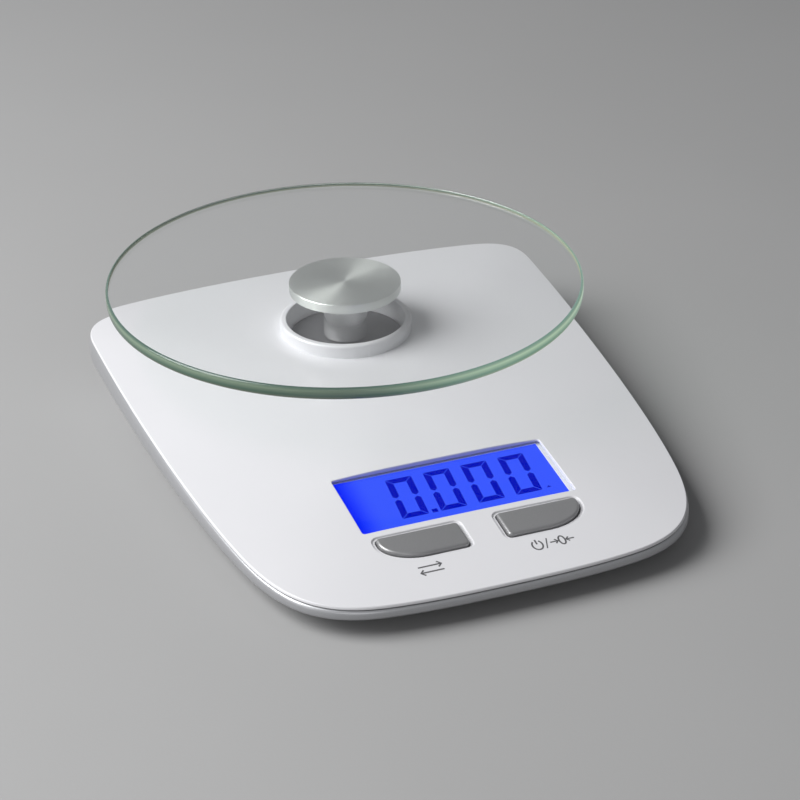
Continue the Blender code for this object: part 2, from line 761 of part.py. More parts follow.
def make_bottom_shell(parent):
    part = add_part("bottom_shell", shell_body(), "silver_plastic", parent)
    additions = [bay_walls()]
    floor = INNER_FLOOR - 1
    additions += [cylinder(SHELL_BOSS_RADIUS, floor, BOSS_SPLIT, centre, 12) for centre in HOUSING_SCREWS]
    additions.append(block((-PAD_HALF_WIDTH, PAD_HALF_WIDTH), (BEAM_FRONT - 2, PAD_BACK), (floor, PAD_TOP)))
    additions.append(cylinder(OVERLOAD_STOP_RADIUS, floor, BEAM_BOTTOM - OVERLOAD_STOP_GAP, segments=12))
    shape_with(part, "UNION", group(additions), parent)
    cuts = [block(BAY_X, BAY_Y, (UNDERSIDE - 1, BAY_CEILING))]
    cuts += [
        cylinder(FOOT_RADIUS + GAP, UNDERSIDE - 1, FOOT_TOP + GAP, centre, 20)
        for centre in FEET.values()
    ]
    cuts += [stepped_hole(*HOUSING_SEAT, BOSS_SPLIT + 1, centre) for centre in HOUSING_SCREWS]
    cuts += [
        stepped_hole(BEAM_SEAT_RADIUS, INNER_FLOOR + 0.4, SCREW_CLEARANCE_RADIUS, PAD_TOP + 1, (0, y))
        for y in FIXED_END_SCREWS_Y
    ]
    shape_with(part, "DIFFERENCE", group(cuts), parent)
    for cut in doorway_cuts():
        shape_with(part, "DIFFERENCE", cut, parent)


def doorway_cuts():
    """The opening for the door, the room for its tabs and tongue, and the notch for a thumbnail."""
    door_x = (DOOR_X[0] - DOOR_CLEARANCE, DOOR_X[1] + DOOR_CLEARANCE)
    front = DOOR_FRONT - DOOR_CLEARANCE
    doorway = block(door_x, (front, DOOR_PIVOT_Y), (UNDERSIDE - 1, INNER_FLOOR - 0.1))
    room_x = (DOOR_X[0] + 1.5, DOOR_X[1] - 1.5)
    room_z = (INNER_FLOOR - 1, INNER_FLOOR + 1)
    hinge_room = block(room_x, (BAY_Y[1] + BAY_WALL + 0.2, DOOR_PIVOT_Y), room_z)
    latch_room = block(room_x, (front, BAY_Y[0] - BAY_WALL - 0.2), room_z)
    notch_centre = (sum(DOOR_X) / 2, DOOR_FRONT - NOTCH_AHEAD)
    notch = cylinder(NOTCH_RADIUS, UNDERSIDE - 1, UNDERSIDE + NOTCH_DEPTH, notch_centre)
    return doorway, group([hinge_room, latch_room]), notch


def stepped_hole(head_radius, head_depth, bore_radius, top, centre):
    """A cutter for a screw hole with its counterbore in the underside."""
    profile = (
        (0, UNDERSIDE - 1),
        (head_radius, UNDERSIDE - 1),
        (head_radius, head_depth),
        (bore_radius, head_depth),
        (bore_radius, top),
        (0, top),
    )
    return turned(profile, 16, centre)


def make_housing_screws(parent):
    for number, centre in enumerate(HOUSING_SCREWS, 1):
        housing_screw = screw(HOUSING_SCREW, HOUSING_HEAD_LOW, HOUSING_HEAD_HIGH, BOSS_SPLIT + 4, centre)
        add_part(f"housing_screw_{number}", housing_screw, "steel", parent)


def make_feet(parent):
    for name, (x, y) in FEET.items():
        profile = (
            (0, FOOT_TOP),
            (FOOT_RADIUS, FOOT_TOP),
            (FOOT_RADIUS, 0.5),
            (FOOT_RADIUS - 0.5, 0),
            (0, 0),
        )
        add_part(name, turned(profile, 20), "black_rubber", parent, (x, y, 0))


# ---------------------------------------------------------------- display, board and buttons

def layer(half_width, front, back, top, thickness):
    return block((-half_width, half_width), (front, back), (top - thickness, top))


def make_display(parent):
    half_width = WINDOW_HALF_WIDTH + DISPLAY_MARGINS[0]
    half_depth = WINDOW_HALF_DEPTH + DISPLAY_MARGINS[1]
    lens = layer(half_width, -half_depth, half_depth, LENS_TOP, LENS_THICKNESS)
    add_part("display_lens", lens, "clear_plastic", parent)
    panel = layer(half_width, -half_depth, half_depth, PANEL_TOP, PANEL_THICKNESS)
    add_part("lcd_panel", panel, "blue_panel", parent)
    backlight_back = half_depth - CONNECTOR_DEPTH
    backlight = layer(half_width, -half_depth, backlight_back, BACKLIGHT_TOP, BACKLIGHT_THICKNESS)
    add_part("lcd_backlight", backlight, "white_plastic", parent)
    strip = layer(half_width - 3, backlight_back + 0.6, half_depth - 0.4, BACKLIGHT_TOP, BACKLIGHT_THICKNESS)
    add_part("elastomer_connector", strip, "white_silicone", parent)


def make_board(parent):
    board = layer(BOARD_HALF_WIDTH, BOARD_FRONT, BOARD_BACK, BOARD_TOP, BOARD_THICKNESS)
    part = add_part("main_board", board, "green_board", parent)
    places = BOARD_SCREWS + BOARD_PEGS
    holes = [cylinder(1.5, BOARD_BOTTOM - 1, BOARD_TOP + 1, centre, 10) for centre in places]
    shape_with(part, "DIFFERENCE", group(holes), parent)
    head_low, head_high = BOARD_BOTTOM - GAP - 1.5, BOARD_BOTTOM - GAP
    for number, centre in enumerate(BOARD_SCREWS, 1):
        board_screw = screw(BOARD_SCREW, head_low, head_high, BOARD_TOP + 2.6, centre)
        add_part(f"board_screw_{number}", board_screw, "steel", parent)
    make_board_parts(BOARD_BOTTOM - GAP, parent)


def make_board_parts(under, parent):
    chip = block(CHIP_X, CHIP_V, (under - CHIP_HEIGHT, under))
    add_part("controller_chip", chip, "black_epoxy", parent)
    low = under - CAPACITOR_HEIGHT
    radius = CAPACITOR_RADIUS
    can = ((0, under), (radius, under), (radius, low + 0.4), (radius - 0.4, low), (0, low))
    add_part("capacitor", moved(turned(can), Matrix.Translation(CAPACITOR_PLACE)), "black_epoxy", parent)
    crystal = prism(stadium(CRYSTAL_HALF_LENGTH, CRYSTAL_RADIUS), under - CRYSTAL_HEIGHT, under)
    add_part("crystal", moved(crystal, Matrix.Translation(CRYSTAL_PLACE)), "nickel", parent)


def stadium(half_length, radius):
    flat = half_length - radius
    return arc((flat, 0), (radius, radius), -90, 90, 6) + arc((-flat, 0), (radius, radius), 90, 270, 6)


def make_button(name, side, parent):
    levels = (
        (-0.6, BUTTON_PROUD),
        (-0.1, BUTTON_PROUD - 0.2),
        (0.0, BUTTON_PROUD - 0.6),
        (0.0, BUTTON_FLANGE_TOP),
        (BUTTON_FLANGE, BUTTON_FLANGE_TOP),
        (BUTTON_FLANGE, BUTTON_BOTTOM),
    )
    rings = [[(x, y, z) for x, y in button_outline(side, grow)] for grow, z in levels]
    add_part(name + "_button", loft(rings), "grey_plastic", parent)
    centre = (side * SWITCH_X, SWITCH_V)
    body_x, body_v = ((place - SWITCH_HALF_WIDTH, place + SWITCH_HALF_WIDTH) for place in centre)
    body = block(body_x, body_v, (BOARD_TOP + GAP, SWITCH_TOP))
    switch = add_part(name + "_switch", body, "black_epoxy", parent)
    well = cylinder(PLUNGER_RADIUS + GAP, SWITCH_TOP - 1.6, SWITCH_TOP + 1, centre)
    shape_with(switch, "DIFFERENCE", well, parent)
    plunger = cylinder(PLUNGER_RADIUS, SWITCH_TOP - 1.0, PLUNGER_TOP, centre)
    add_part(name + "_plunger", plunger, "dark_plastic", parent)


# ---------------------------------------------------------------- battery bay

def make_cell(name, x, way, tip, parent):
    """An AAA cell along Y. way is 1 with its nub to the back and -1 with its nub to the front."""
    profile = (
        (0, 0),
        (1.9, 0),
        (1.9, -CELL_NUB),
        (CELL_RADIUS - 0.5, -CELL_NUB),
        (CELL_RADIUS, -CELL_NUB - 0.5),
        (CELL_RADIUS, 0.5 - CELL_LENGTH),
        (CELL_RADIUS - 0.5, -CELL_LENGTH),
        (0, -CELL_LENGTH),
    )
    cell = turned(profile, 24)
    turn = Matrix.Rotation(math.radians(-90 * way), 4, "X")
    add_part(name, moved(cell, turn), "cell_wrap", parent, (x, tip, CELL_Z))


def contact_plate(x_range, y):
    z_range = (CELL_Z - CONTACT_HALF_HEIGHT, CELL_Z + CONTACT_HALF_HEIGHT)
    return block(x_range, (y, y + CONTACT_THICKNESS), z_range)


def contact_spring(x, start, end):
    """A conical coil of wire from a contact plate to the flat end of a cell."""
    count = int(SPRING_TURNS * SPRING_STEPS)
    wide, narrow = SPRING_RADII
    section = [2 * math.pi * side / SPRING_WIRE_SIDES for side in range(SPRING_WIRE_SIDES)]
    rings = []
    for i in range(count + 1):
        share = i / count
        angle = 2 * math.pi * SPRING_TURNS * share
        outward = Vector((math.cos(angle), 0, math.sin(angle)))
        radius = wide + (narrow - wide) * share
        middle = Vector((x, start + (end - start) * share, CELL_Z)) + outward * radius
        spokes = [outward * math.cos(a) + Vector((0, math.sin(a), 0)) for a in section]
        rings.append([tuple(middle + spoke * SPRING_WIRE_RADIUS) for spoke in spokes])
    return loft(rings)


def make_battery_bay(parent):
    left, right = CELLS_X
    back_plate = BAY_Y[1] - GAP - CONTACT_THICKNESS
    front_plate = BAY_Y[0] + GAP
    back_face, front_face = back_plate, front_plate + CONTACT_THICKNESS
    make_cell("aaa_cell_left", left, 1, back_face - GAP, parent)
    make_cell("aaa_cell_right", right, -1, front_face + GAP, parent)
    left_end = back_face - GAP - CELL_LENGTH
    right_end = front_face + GAP + CELL_LENGTH
    half = CONTACT_HALF_WIDTH
    reach = SPRING_END_GAP
    add_part("bridge_contact", contact_plate((left - half, right + half), back_plate), "nickel", parent)
    add_part("bridge_spring", contact_spring(right, back_face - reach, right_end + reach), "nickel", parent)
    add_part("negative_contact", contact_plate((left - half, left + half), front_plate), "nickel", parent)
    add_part("negative_spring", contact_spring(left, front_face + reach, left_end - reach), "nickel", parent)
    add_part("positive_contact", contact_plate((right - half, right + half), front_plate), "nickel", parent)


def door_profile():
    """Side view of the door about its pivot, as (y, z): a plate with a bevelled back edge."""
    low, high = UNDERSIDE - INNER_FLOOR, UNDERSIDE + DOOR_THICKNESS - INNER_FLOOR
    front = DOOR_FRONT - DOOR_PIVOT_Y
    return ((front, low), (-2.6, low), (-1.2, high), (front, high))


def tab_profile():
    """Side view of a tab, which reaches over the shell's floor behind the pivot."""
    plate_top = UNDERSIDE + DOOR_THICKNESS - INNER_FLOOR
    low = plate_top - 0.4
    return ((-3.4, low), (-1.7, low), (-0.5, GAP), (2.2, GAP), (2.2, TAB_TOP), (-3.4, TAB_TOP))


def along_x(profile, x_range):
    return loft([[(x, y, z) for y, z in profile] for x in x_range])


def make_battery_door(parent):
    pivot = add_empty("battery_door_pivot", (0.0, DOOR_PIVOT_Y, INNER_FLOOR), parent)
    part = add_part("battery_door", along_x(door_profile(), DOOR_X), "silver_plastic", pivot)
    tabs = [along_x(tab_profile(), (x - TAB_HALF_WIDTH, x + TAB_HALF_WIDTH)) for x in CELLS_X]
    middle = sum(DOOR_X) / 2
    front = DOOR_FRONT - DOOR_PIVOT_Y
    plate_top = UNDERSIDE + DOOR_THICKNESS - INNER_FLOOR
    tongue_x = (middle - TONGUE_HALF_WIDTH, middle + TONGUE_HALF_WIDTH)
    tongue = block(tongue_x, (front + 0.8, front + 2.0), (plate_top - 0.4, TONGUE_TOP))
    shape_with(part, "UNION", group([*tabs, tongue]), pivot)


def make_leads(parent):
    board_edge = Matrix.Translation((0, DISPLAY_Y, DISPLAY_HEIGHT)) @ Matrix.Rotation(DISPLAY_TILT, 4, "X")
    under_board = BOARD_BOTTOM - 1.6
    gauge_end = board_edge @ Vector((-20, BOARD_BACK - 4, under_board))
    gauge_start = ((-7.6, -24, 14.2), (-9.8, -30, 11.5), (-12, -42, 9))
    gauge_route = (*gauge_start, (-15, -58, 8.2), (-18.5, -70, 8.2), gauge_end)
    add_wire("gauge_leads", gauge_route, 1.0, "white_silicone", parent)
    red_end = board_edge @ Vector((26, BOARD_BACK - 4, under_board))
    red_route = ((41.5, -48.6, 12.2), (40, -52, 12.4), (36, -60, 10.8), (30, -70, 9.2), red_end)
    add_wire("battery_lead_red", red_route, 0.7, "red_insulation", parent)
    black_end = board_edge @ Vector((21, BOARD_BACK - 4, under_board))
    black_route = ((33.5, -48.6, 12.2), (33, -52, 12.4), (30, -60, 10.8), (25, -70, 9.2), black_end)
    add_wire("battery_lead_black", black_route, 0.7, "black_insulation", parent)


# ---------------------------------------------------------------- assembly

def clear_scene():
    for obj in list(bpy.data.objects):
        bpy.data.objects.remove(obj, do_unlink=True)


def main():
    clear_scene()
    hub = add_empty("hub_frame", (0, HUB_Y, 0))
    display = add_empty("display_frame", (0, DISPLAY_Y, DISPLAY_HEIGHT), hub, DISPLAY_TILT)
    make_glass_platter(hub)
    make_hub_disc(hub)
    make_hub_post(hub)
    make_platter_carrier(hub)
    make_hub_screws(hub)
    make_load_cell(hub)
    make_load_cell_mounting(hub)
    make_top_cover(hub, display)
    make_bottom_shell(hub)
    make_housing_screws(hub)
    make_feet(hub)
    make_display(display)
    make_board(display)
    make_button("unit", -1, display)
    make_button("tare", 1, display)
    make_battery_bay(hub)
    make_battery_door(hub)
    make_leads(hub)


main()
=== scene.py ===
"""Looks of the kitchen scale: detailed shells, platter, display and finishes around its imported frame.

Shapes are worked out in millimetres about the hub's axis. They become metres where a piece is made.
"""

import json
import math

import bmesh
import bpy
import numpy as np
from mathutils import Matrix, Vector


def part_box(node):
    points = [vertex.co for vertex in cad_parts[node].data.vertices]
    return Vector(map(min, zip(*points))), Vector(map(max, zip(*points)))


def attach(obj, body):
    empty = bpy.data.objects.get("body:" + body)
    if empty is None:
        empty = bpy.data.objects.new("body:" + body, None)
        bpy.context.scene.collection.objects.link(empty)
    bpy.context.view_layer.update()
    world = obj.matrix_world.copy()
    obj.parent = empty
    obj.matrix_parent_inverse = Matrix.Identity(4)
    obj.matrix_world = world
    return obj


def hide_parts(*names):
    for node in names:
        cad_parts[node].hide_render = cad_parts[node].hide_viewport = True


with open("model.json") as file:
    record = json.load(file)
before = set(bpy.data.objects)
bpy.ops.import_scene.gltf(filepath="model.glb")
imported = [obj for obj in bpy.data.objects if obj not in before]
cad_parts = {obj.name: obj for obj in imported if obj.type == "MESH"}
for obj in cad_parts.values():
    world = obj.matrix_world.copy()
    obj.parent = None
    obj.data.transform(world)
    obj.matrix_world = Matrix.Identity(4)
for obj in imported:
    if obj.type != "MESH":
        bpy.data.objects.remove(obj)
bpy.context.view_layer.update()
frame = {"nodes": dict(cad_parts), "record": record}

MM = 0.001
HUB = (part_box("glass_platter")[0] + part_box("glass_platter")[1]) / 2

# Camera and light
CAMERA_AZIMUTH = -20.561
CAMERA_ELEVATION = 28.466
CAMERA_ROLL = -0.845
CAMERA_DISTANCE = 0.7785
CAMERA_AIM = (0.0016, -0.0137, 0.0204)
CAMERA_LENS = 108.0

# Name, place, size and power of each light
LIGHTS = (
    ("key_light", (-0.84, 0.19, 0.82), (0.9, 0.9), 19.2),
    ("low_light", (-0.95, -0.30, 0.26), (0.5, 0.35), 0.7),
    ("front_light", (-0.30, -0.85, 0.42), (0.5, 0.3), 0.8),
)

# Housing outline about the hub's axis: Bezier stretches of start, two pulls, end
HALF_OUTLINE = (
    ((0.0, 50.0), (22.0, 50.0), (44.0, 49.2), (64.0, 46.5)),
    ((64.0, 46.5), (75.0, 45.0), (80.8, 41.0), (80.8, 30.0)),
    ((80.8, 30.0), (80.8, -15.0), (77.5, -75.0), (71.5, -107.0)),
    ((71.5, -107.0), (67.2, -130.0), (59.0, -140.5), (40.0, -143.5)),
    ((40.0, -143.5), (27.0, -145.4), (13.0, -145.5), (0.0, -145.5)),
)
OUTLINE_STEPS = 36
HOUSING_MIDDLE_Y = -48.0
STEEPEST_TOP_FACE = 0.5

# Housing heights
SEAM_HEIGHT = 18.6
SEAM_SLOPE = 0.0653
SEAM_GAP = 0.35
COVER_EDGE = 0.9
COVER_CROWN = 4.8
COVER_CROWN_POWER = 1.65
COVER_WALL = 2.0
COVER_LIP = ((0.0, 0.0), (2.2, 0.0), (2.2, 1.6), (3.6, 1.6))
COVER_INNER_INSET = 3.8
COVER_RINGS = 22
EDGE_INSET = 0.5
EDGE_STEPS = 7
UNDERSIDE = 2.0
INNER_FLOOR = 4.0

# Shell sections: inset from the outline, share of the way down from the rim, and lift on the inside
SHELL_OUTER = (
    (13.3, 1.0),
    (13.0, 1.0),
    (11.0, 0.95),
    (6.0, 0.78),
    (2.2, 0.58),
    (0.3, 0.48),
    (-0.6, 0.35),
    (-0.7, 0.25),
    (-0.68, 0.17),
    (-0.55, 0.1),
    (-0.3, 0.045),
    (0.05, 0.01),
    (0.45, 0.0),
)
SHELL_INNER = (
    (1.9, 0.0, 0.0),
    (1.9, 0.33, 0.0),
    (3.4, 0.58, 1.9),
    (6.6, 0.78, 2.0),
    (11.4, 0.95, 2.0),
    (13.5, 1.0, 2.0),
)

# Collar and hub
COLLAR_RADIUS = 22.3
COLLAR_BORE = 20.1
COLLAR_TOP = 26.9
COLLAR_BOTTOM = 17.8
COLLAR_ROUND = 0.9
BORE_ROUND = 0.35
DISC_THICKNESS = 3.2
SPIGOT_RADIUS = 4.0
SCREW_HOLE = 1.9
CARRIER_FLANGE = 2.0
CARRIER_BOSS = 12.0
HUB_SCREW_ROOM = (3.4, 2.4)
FREE_END_Y = (7.5, -7.5)
FREE_END_DEPTH = 3.8
GLASS_BEVEL = 0.9
GLASS_FLAT_MARGIN = 0.05
# Painted glow on the glass rim, brightest towards the right front, standing in for key light that the glass
# carries round: its strength, direction and the reach over which it fades in
RIM_PAINTED_GLOW = 0.95
PAINTED_GLOW_SIDE = (0.8, -0.6)
PAINTED_GLOW_REACH = (0.02, 0.07)
# Colours up the glass rim from bottom to top: the glass's own green, with painted reflection bands, a light
# one high up and dark ones below it and at the top
RIM_TINT_AND_REFLECTION_BANDS = (
    (0.0, (0.22, 0.24, 0.17)),
    (0.35, (0.12, 0.22, 0.16)),
    (0.75, (0.34, 0.46, 0.33)),
    (1.0, (0.10, 0.18, 0.15)),
)
ROUND_STEPS = 160

# Display and buttons, on a plane that touches the cover at the middle of the window
DISPLAY_Y = -96.7
WINDOW_HALF_WIDTH = 34.9
WINDOW_HALF_DEPTH = 14.4
WINDOW_ROUND = 0.35
BUTTON_INNER = 6.3
BUTTON_OUTER = 32.6
BUTTON_BACK = -18.4
BUTTON_FRONT = -29.4
BUTTON_CORNER = 1.2
BUTTON_SWEEP = (13.0, 8.6)
BUTTON_CLEARANCE = 0.45
BEZEL_WIDTH = 1.3
BEZEL_DEPTH = 0.5
BUTTON_PROUD = 0.5
BUTTON_ROUND = 0.95
BUTTON_FLANGE = ((0.0, -2.4), (0.9, -2.4), (0.9, -3.1))
POCKET_MARGINS = (3.4, 2.9)
POCKET_CEILING = -1.5
LENS_BOTTOM = -2.4
PANEL_TOP = -2.7
# White frame under the lens: its width, and how far it shows inside the window at the right side only, as a
# painted highlight standing in for the lit right wall
BORDER_WIDTH = 2.0
BORDER_SHOWN_AS_HIGHLIGHT = 0.9
POCKET_FLOOR = -6.8

# Digits on the panel
DIGIT_LEFT = -19.8
DIGIT_BOTTOM = -105.2
DIGIT_WIDTH = 8.6
DIGIT_HEIGHT = 19.8
DIGIT_PITCH = 12.55
DIGIT_STROKE = 2.15
DIGIT_GAP = 0.17
DIGIT_LEAN = math.tan(math.radians(4.5))
DIGIT_COUNT = 4
PRINT_THICKNESS = 0.03
SIGNS_Y = -132.4
SIGN_STEPS = 28

# Surroundings: how bright they are as light, and as seen in reflections
SURROUND_LIGHT = 0.135
SURROUND_REFLECTED = 0.42
FLOOR_REACH = 4.0

# Underside, battery door and screws
BAY_X = (26.0, 50.0)
BAY_Y = (-46.0, 6.0)
BAY_CEILING = 14.7
BAY_WALL = 1.4
DOOR_X = (25.4, 50.6)
DOOR_FRONT = -51.6
DOOR_PIVOT_Y = 12.0
DOOR_TOP = -0.4
DOOR_GAP = 0.4
DOOR_LEDGE = 1.5
DOOR_HEEL = -2.6
DOOR_TOE = -1.2
TAB_HALF_WIDTH = 2.5
TONGUE_HALF_WIDTH = 4
TONGUE_TOP = 8.0
GROOVE_DEPTH = 0.35
GROOVE_PITCH = 1.6
CELLS_X = (32.2, 43.8)
HOUSING_SCREWS = ((60.0, 6.0), (-60.0, 6.0), (54.0, -100.0), (-54.0, -100.0))
FIXED_END_SCREWS = ((0.0, -47.5), (0.0, -62.5))
BOSS_SPLIT = 8.0
COVER_BOSS = 3.6
SHELL_BOSS = 4.6
HOUSING_SCREW_HOLE = (3.5, 5.6, 1.7)
FIXED_END_HOLE = (3.6, 4.4, 2.0)
PAD_X = (-8.5, 8.5)
PAD_Y = (-69.5, -40.5)
PAD_TOP = 5.2
FOOT_POCKET_TOP = 2.9
FINGER_NOTCH = 7.0
SCREW_DOME = 1.2
SCREW_HEAD = 1.9
SCREW_SHANK = 1.3


# ---------------------------------------------------------------- bodies: (points in mm, faces)

def loft(rings, closed=False):
    """A body through rings of equally many points, where a ring of one point is a pole."""
    points = [tuple(point) for ring in rings for point in ring]
    starts = np.cumsum([0] + [len(ring) for ring in rings])
    faces = []
    pairs = list(zip(range(len(rings)), range(1, len(rings))))
    if closed:
        pairs.append((len(rings) - 1, 0))
    for a, b in pairs:
        count_a, count_b = len(rings[a]), len(rings[b])
        for i in range(max(count_a, count_b)):
            j = i + 1
            low = [starts[a] + i % count_a, starts[a] + j % count_a]
            high = [starts[b] + j % count_b, starts[b] + i % count_b]
            faces.append(list(dict.fromkeys(int(k) for k in low + high)))
    if not closed:
        for ring in (0, len(rings) - 1):
            if len(rings[ring]) > 2:
                faces.append([int(starts[ring]) + i for i in range(len(rings[ring]))])
    return points, faces


def circle(radius, z, centre, steps):
    if radius == 0:
        return [(*centre, z)]
    angles = [2 * math.pi / steps * i for i in range(steps)]
    return [(centre[0] + radius * math.cos(a), centre[1] + radius * math.sin(a), z) for a in angles]


def turned(profile, centre=(0.0, 0.0), steps=ROUND_STEPS, closed=False):
    """A solid of revolution about a vertical axis, from (radius, z) points."""
    return loft([circle(radius, z, centre, steps) for radius, z in profile], closed)


def cylinder(radius, low, high, centre=(0.0, 0.0), steps=48):
    return turned(((radius, low), (radius, high)), centre, steps)


def prism(outline, low, high):
    return loft([[(x, y, low) for x, y in outline], [(x, y, high) for x, y in outline]])


def block(x_range, y_range, z_range):
    (x0, x1), (y0, y1) = x_range, y_range
    return prism(((x0, y0), (x1, y0), (x1, y1), (x0, y1)), *z_range)


def group(bodies):
    points, faces = [], []
    for body_points, body_faces in bodies:
        start = len(points)
        points += body_points
        faces += [[start + i for i in face] for face in body_faces]
    return points, faces


def arc(centre, radii, start, end, steps):
    angles = [math.radians(start + (end - start) * i / steps) for i in range(steps + 1)]
    return [(centre[0] + radii[0] * math.cos(a), centre[1] + radii[1] * math.sin(a)) for a in angles]


# ---------------------------------------------------------------- pieces

def add_mesh(name, body):
    """An object from a body, in the frame's metres."""
    points, faces = body
    mesh = bpy.data.meshes.new(name)
    mesh.from_pydata([(x * MM + HUB.x, y * MM + HUB.y, z * MM) for x, y, z in points], [], faces)
    work = bmesh.new()
    work.from_mesh(mesh)
    bmesh.ops.recalc_face_normals(work, faces=work.faces)
    work.to_mesh(mesh)
    work.free()
    piece = bpy.data.objects.new(name, mesh)
    bpy.context.scene.collection.objects.link(piece)
    return piece


def bake(piece):
    """Turns a piece's modifiers into its mesh."""
    depsgraph = bpy.context.evaluated_depsgraph_get()
    mesh = bpy.data.meshes.new_from_object(piece.evaluated_get(depsgraph))
    piece.modifiers.clear()
    piece.data = mesh


def carve(piece, operation, body):
    """Adds or cuts a body on a piece."""
    tool = add_mesh(piece.name + "_tool", body)
    modifier = piece.modifiers.new("carve", "BOOLEAN")
    modifier.operation = operation
    modifier.object = tool
    bake(piece)
    bpy.data.objects.remove(tool)


def soften(piece, width):
    """Rounds a piece's sharp edges."""
    modifier = piece.modifiers.new("soften", "BEVEL")
    modifier.width = width * MM
    modifier.segments = 3
    modifier.limit_method = "ANGLE"
    modifier.angle_limit = math.radians(30)
    bake(piece)


def finish_piece(piece, body, slot, nodes=(), sharp=35, material=None):
    """Shading, material and place in the frame of a finished piece. The material is its slot's by default."""
    piece.data.materials.clear()
    piece.data.materials.append(material or MATERIALS[slot])
    if not piece.data.has_custom_normals:
        piece.data.shade_smooth()
        piece.data.set_sharp_from_angle(angle=math.radians(sharp))
    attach(piece, body)
    if nodes:
        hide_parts(*nodes)


def shade_by_area(piece, sharp):
    """Smooth shading in which large flat faces keep their own normals."""
    piece.data.shade_smooth()
    piece.data.set_sharp_from_angle(angle=math.radians(sharp))
    modifier = piece.modifiers.new("weights", "WEIGHTED_NORMAL")
    modifier.keep_sharp = True
    modifier.weight = 100
    bake(piece)


# ---------------------------------------------------------------- housing surface

def bezier(start, pull_a, pull_b, end, steps):
    t = np.linspace(0, 1, steps, endpoint=False)[:, None]
    start, pull_a, pull_b, end = (np.array(point) for point in (start, pull_a, pull_b, end))
    return start * (1 - t) ** 3 + 3 * pull_a * t * (1 - t) ** 2 + 3 * pull_b * t**2 * (1 - t) + end * t**3


def housing_outline():
    right = np.vstack([bezier(*stretch, OUTLINE_STEPS) for stretch in HALF_OUTLINE] + [HALF_OUTLINE[-1][-1]])
    left = right[-2:0:-1] * (-1, 1)
    return np.vstack([right, left])


OUTLINE = housing_outline()
OUTLINE_SPOKES = OUTLINE - (0, HOUSING_MIDDLE_Y)
OUTLINE_REACH = np.hypot(*OUTLINE_SPOKES.T)
OUTLINE_ANGLE = np.arctan2(OUTLINE_SPOKES[:, 1], OUTLINE_SPOKES[:, 0])
BY_ANGLE = np.argsort(OUTLINE_ANGLE)


def seam_height(y):
    return SEAM_HEIGHT + SEAM_SLOPE * y


def cover_height(x, y):
    """The cover's top face, for numbers or arrays."""
    angle = np.arctan2(y - HOUSING_MIDDLE_Y, x)
    reach = np.interp(angle, OUTLINE_ANGLE[BY_ANGLE], OUTLINE_REACH[BY_ANGLE], period=2 * math.pi)
    share = np.minimum(1.0, np.hypot(x, y - HOUSING_MIDDLE_Y) / reach)
    return seam_height(y) + COVER_EDGE + COVER_CROWN * (1 - share**COVER_CROWN_POWER)


def cover_normals(x, y, step=0.4):
    slope_x = (cover_height(x + step, y) - cover_height(x - step, y)) / (2 * step)
    slope_y = (cover_height(x, y + step) - cover_height(x, y - step)) / (2 * step)
    normals = np.stack([-slope_x, -slope_y, np.ones_like(slope_x)], axis=1)
    return normals / np.linalg.norm(normals, axis=1, keepdims=True)


def housing_ring(inset, height, scale=1.0):
    """The outline shrunk about its middle, at the height that a function of x and y gives."""
    spokes = OUTLINE_SPOKES * (scale - inset / OUTLINE_REACH)[:, None]
    x, y = spokes[:, 0], spokes[:, 1] + HOUSING_MIDDLE_Y
    return np.stack([x, y, height(x, y)], axis=1)


def down_shell(share, lift=0.0):
    def height(x, y):
        rim = seam_height(y) - SEAM_GAP
        return np.maximum(rim - share * (rim - UNDERSIDE) + lift, UNDERSIDE)
    return height


def smooth_rows(rows, steps):
    """Rows of numbers joined by a Catmull-Rom curve."""
    rows = [np.array(row) for row in rows]
    padded = [2 * rows[0] - rows[1], *rows, 2 * rows[-1] - rows[-2]]
    smoothed = []
    for a, b, c, d in zip(padded, padded[1:], padded[2:], padded[3:]):
        for t in np.arange(steps) / steps:
            square = (2 * a - 5 * b + 4 * c - d) * t**2
            cube = (3 * b - a - 3 * c + d) * t**3
            smoothed.append(0.5 * (2 * b + (c - a) * t + square + cube))
    return [*smoothed, rows[-1]]


DISPLAY_HEIGHT = float(cover_height(0.0, DISPLAY_Y))
DISPLAY_SLOPE = float(cover_height(0.0, DISPLAY_Y + 1) - cover_height(0.0, DISPLAY_Y - 1)) / 2
DISPLAY_TILT = Matrix.Rotation(math.atan(DISPLAY_SLOPE), 4, "X")
DISPLAY = Matrix.Translation((0, DISPLAY_Y, DISPLAY_HEIGHT)) @ DISPLAY_TILT


def on_display(body):
    """Takes a body from the display's plane to the hub's frame."""
    points, faces = body
    return [tuple(DISPLAY @ Vector(point)) for point in points], faces


def split_long(outline, longest=4.0, parts=16):
    """Adds points along an outline's long stretches, so that it can follow a curved face."""
    points = []
    for start, end in zip(outline, [*outline[1:], outline[0]]):
        count = parts if math.dist(start, end) > longest else 1
        points += [tuple(np.array(start) + (np.array(end) - start) * i / count) for i in range(count)]
    return points


def surface_cutter(outline, rounding, steps=6, clearance=2.0, depth=8.0):
    """A cutter whose mouth has a rounded edge that follows the cover's top face. outline takes a growth."""
    rings = []
    for angle in np.radians(np.linspace(14, 90, steps)):
        sunk = rounding * (1 - math.cos(angle))
        rings.append(sunken_ring(outline(rounding * (1 - math.sin(angle))), sunk))
    mouth = sunken_ring(outline(rounding + 0.5), -0.12)
    lid = sunken_ring(outline(rounding + 0.5), -clearance)
    bottom = on_display(([(u, v, -depth) for u, v in split_long(outline(0.0))], []))[0]
    return loft([bottom, *rings[::-1], mouth, lid])


def sunken_ring(outline, depth):
    """An outline on the display's plane, dropped onto the cover's top face and then sunk."""
    flat = np.array(on_display(([(u, v, 0.0) for u, v in split_long(outline)], []))[0])
    flat[:, 2] = cover_height(flat[:, 0], flat[:, 1]) - depth
    return flat


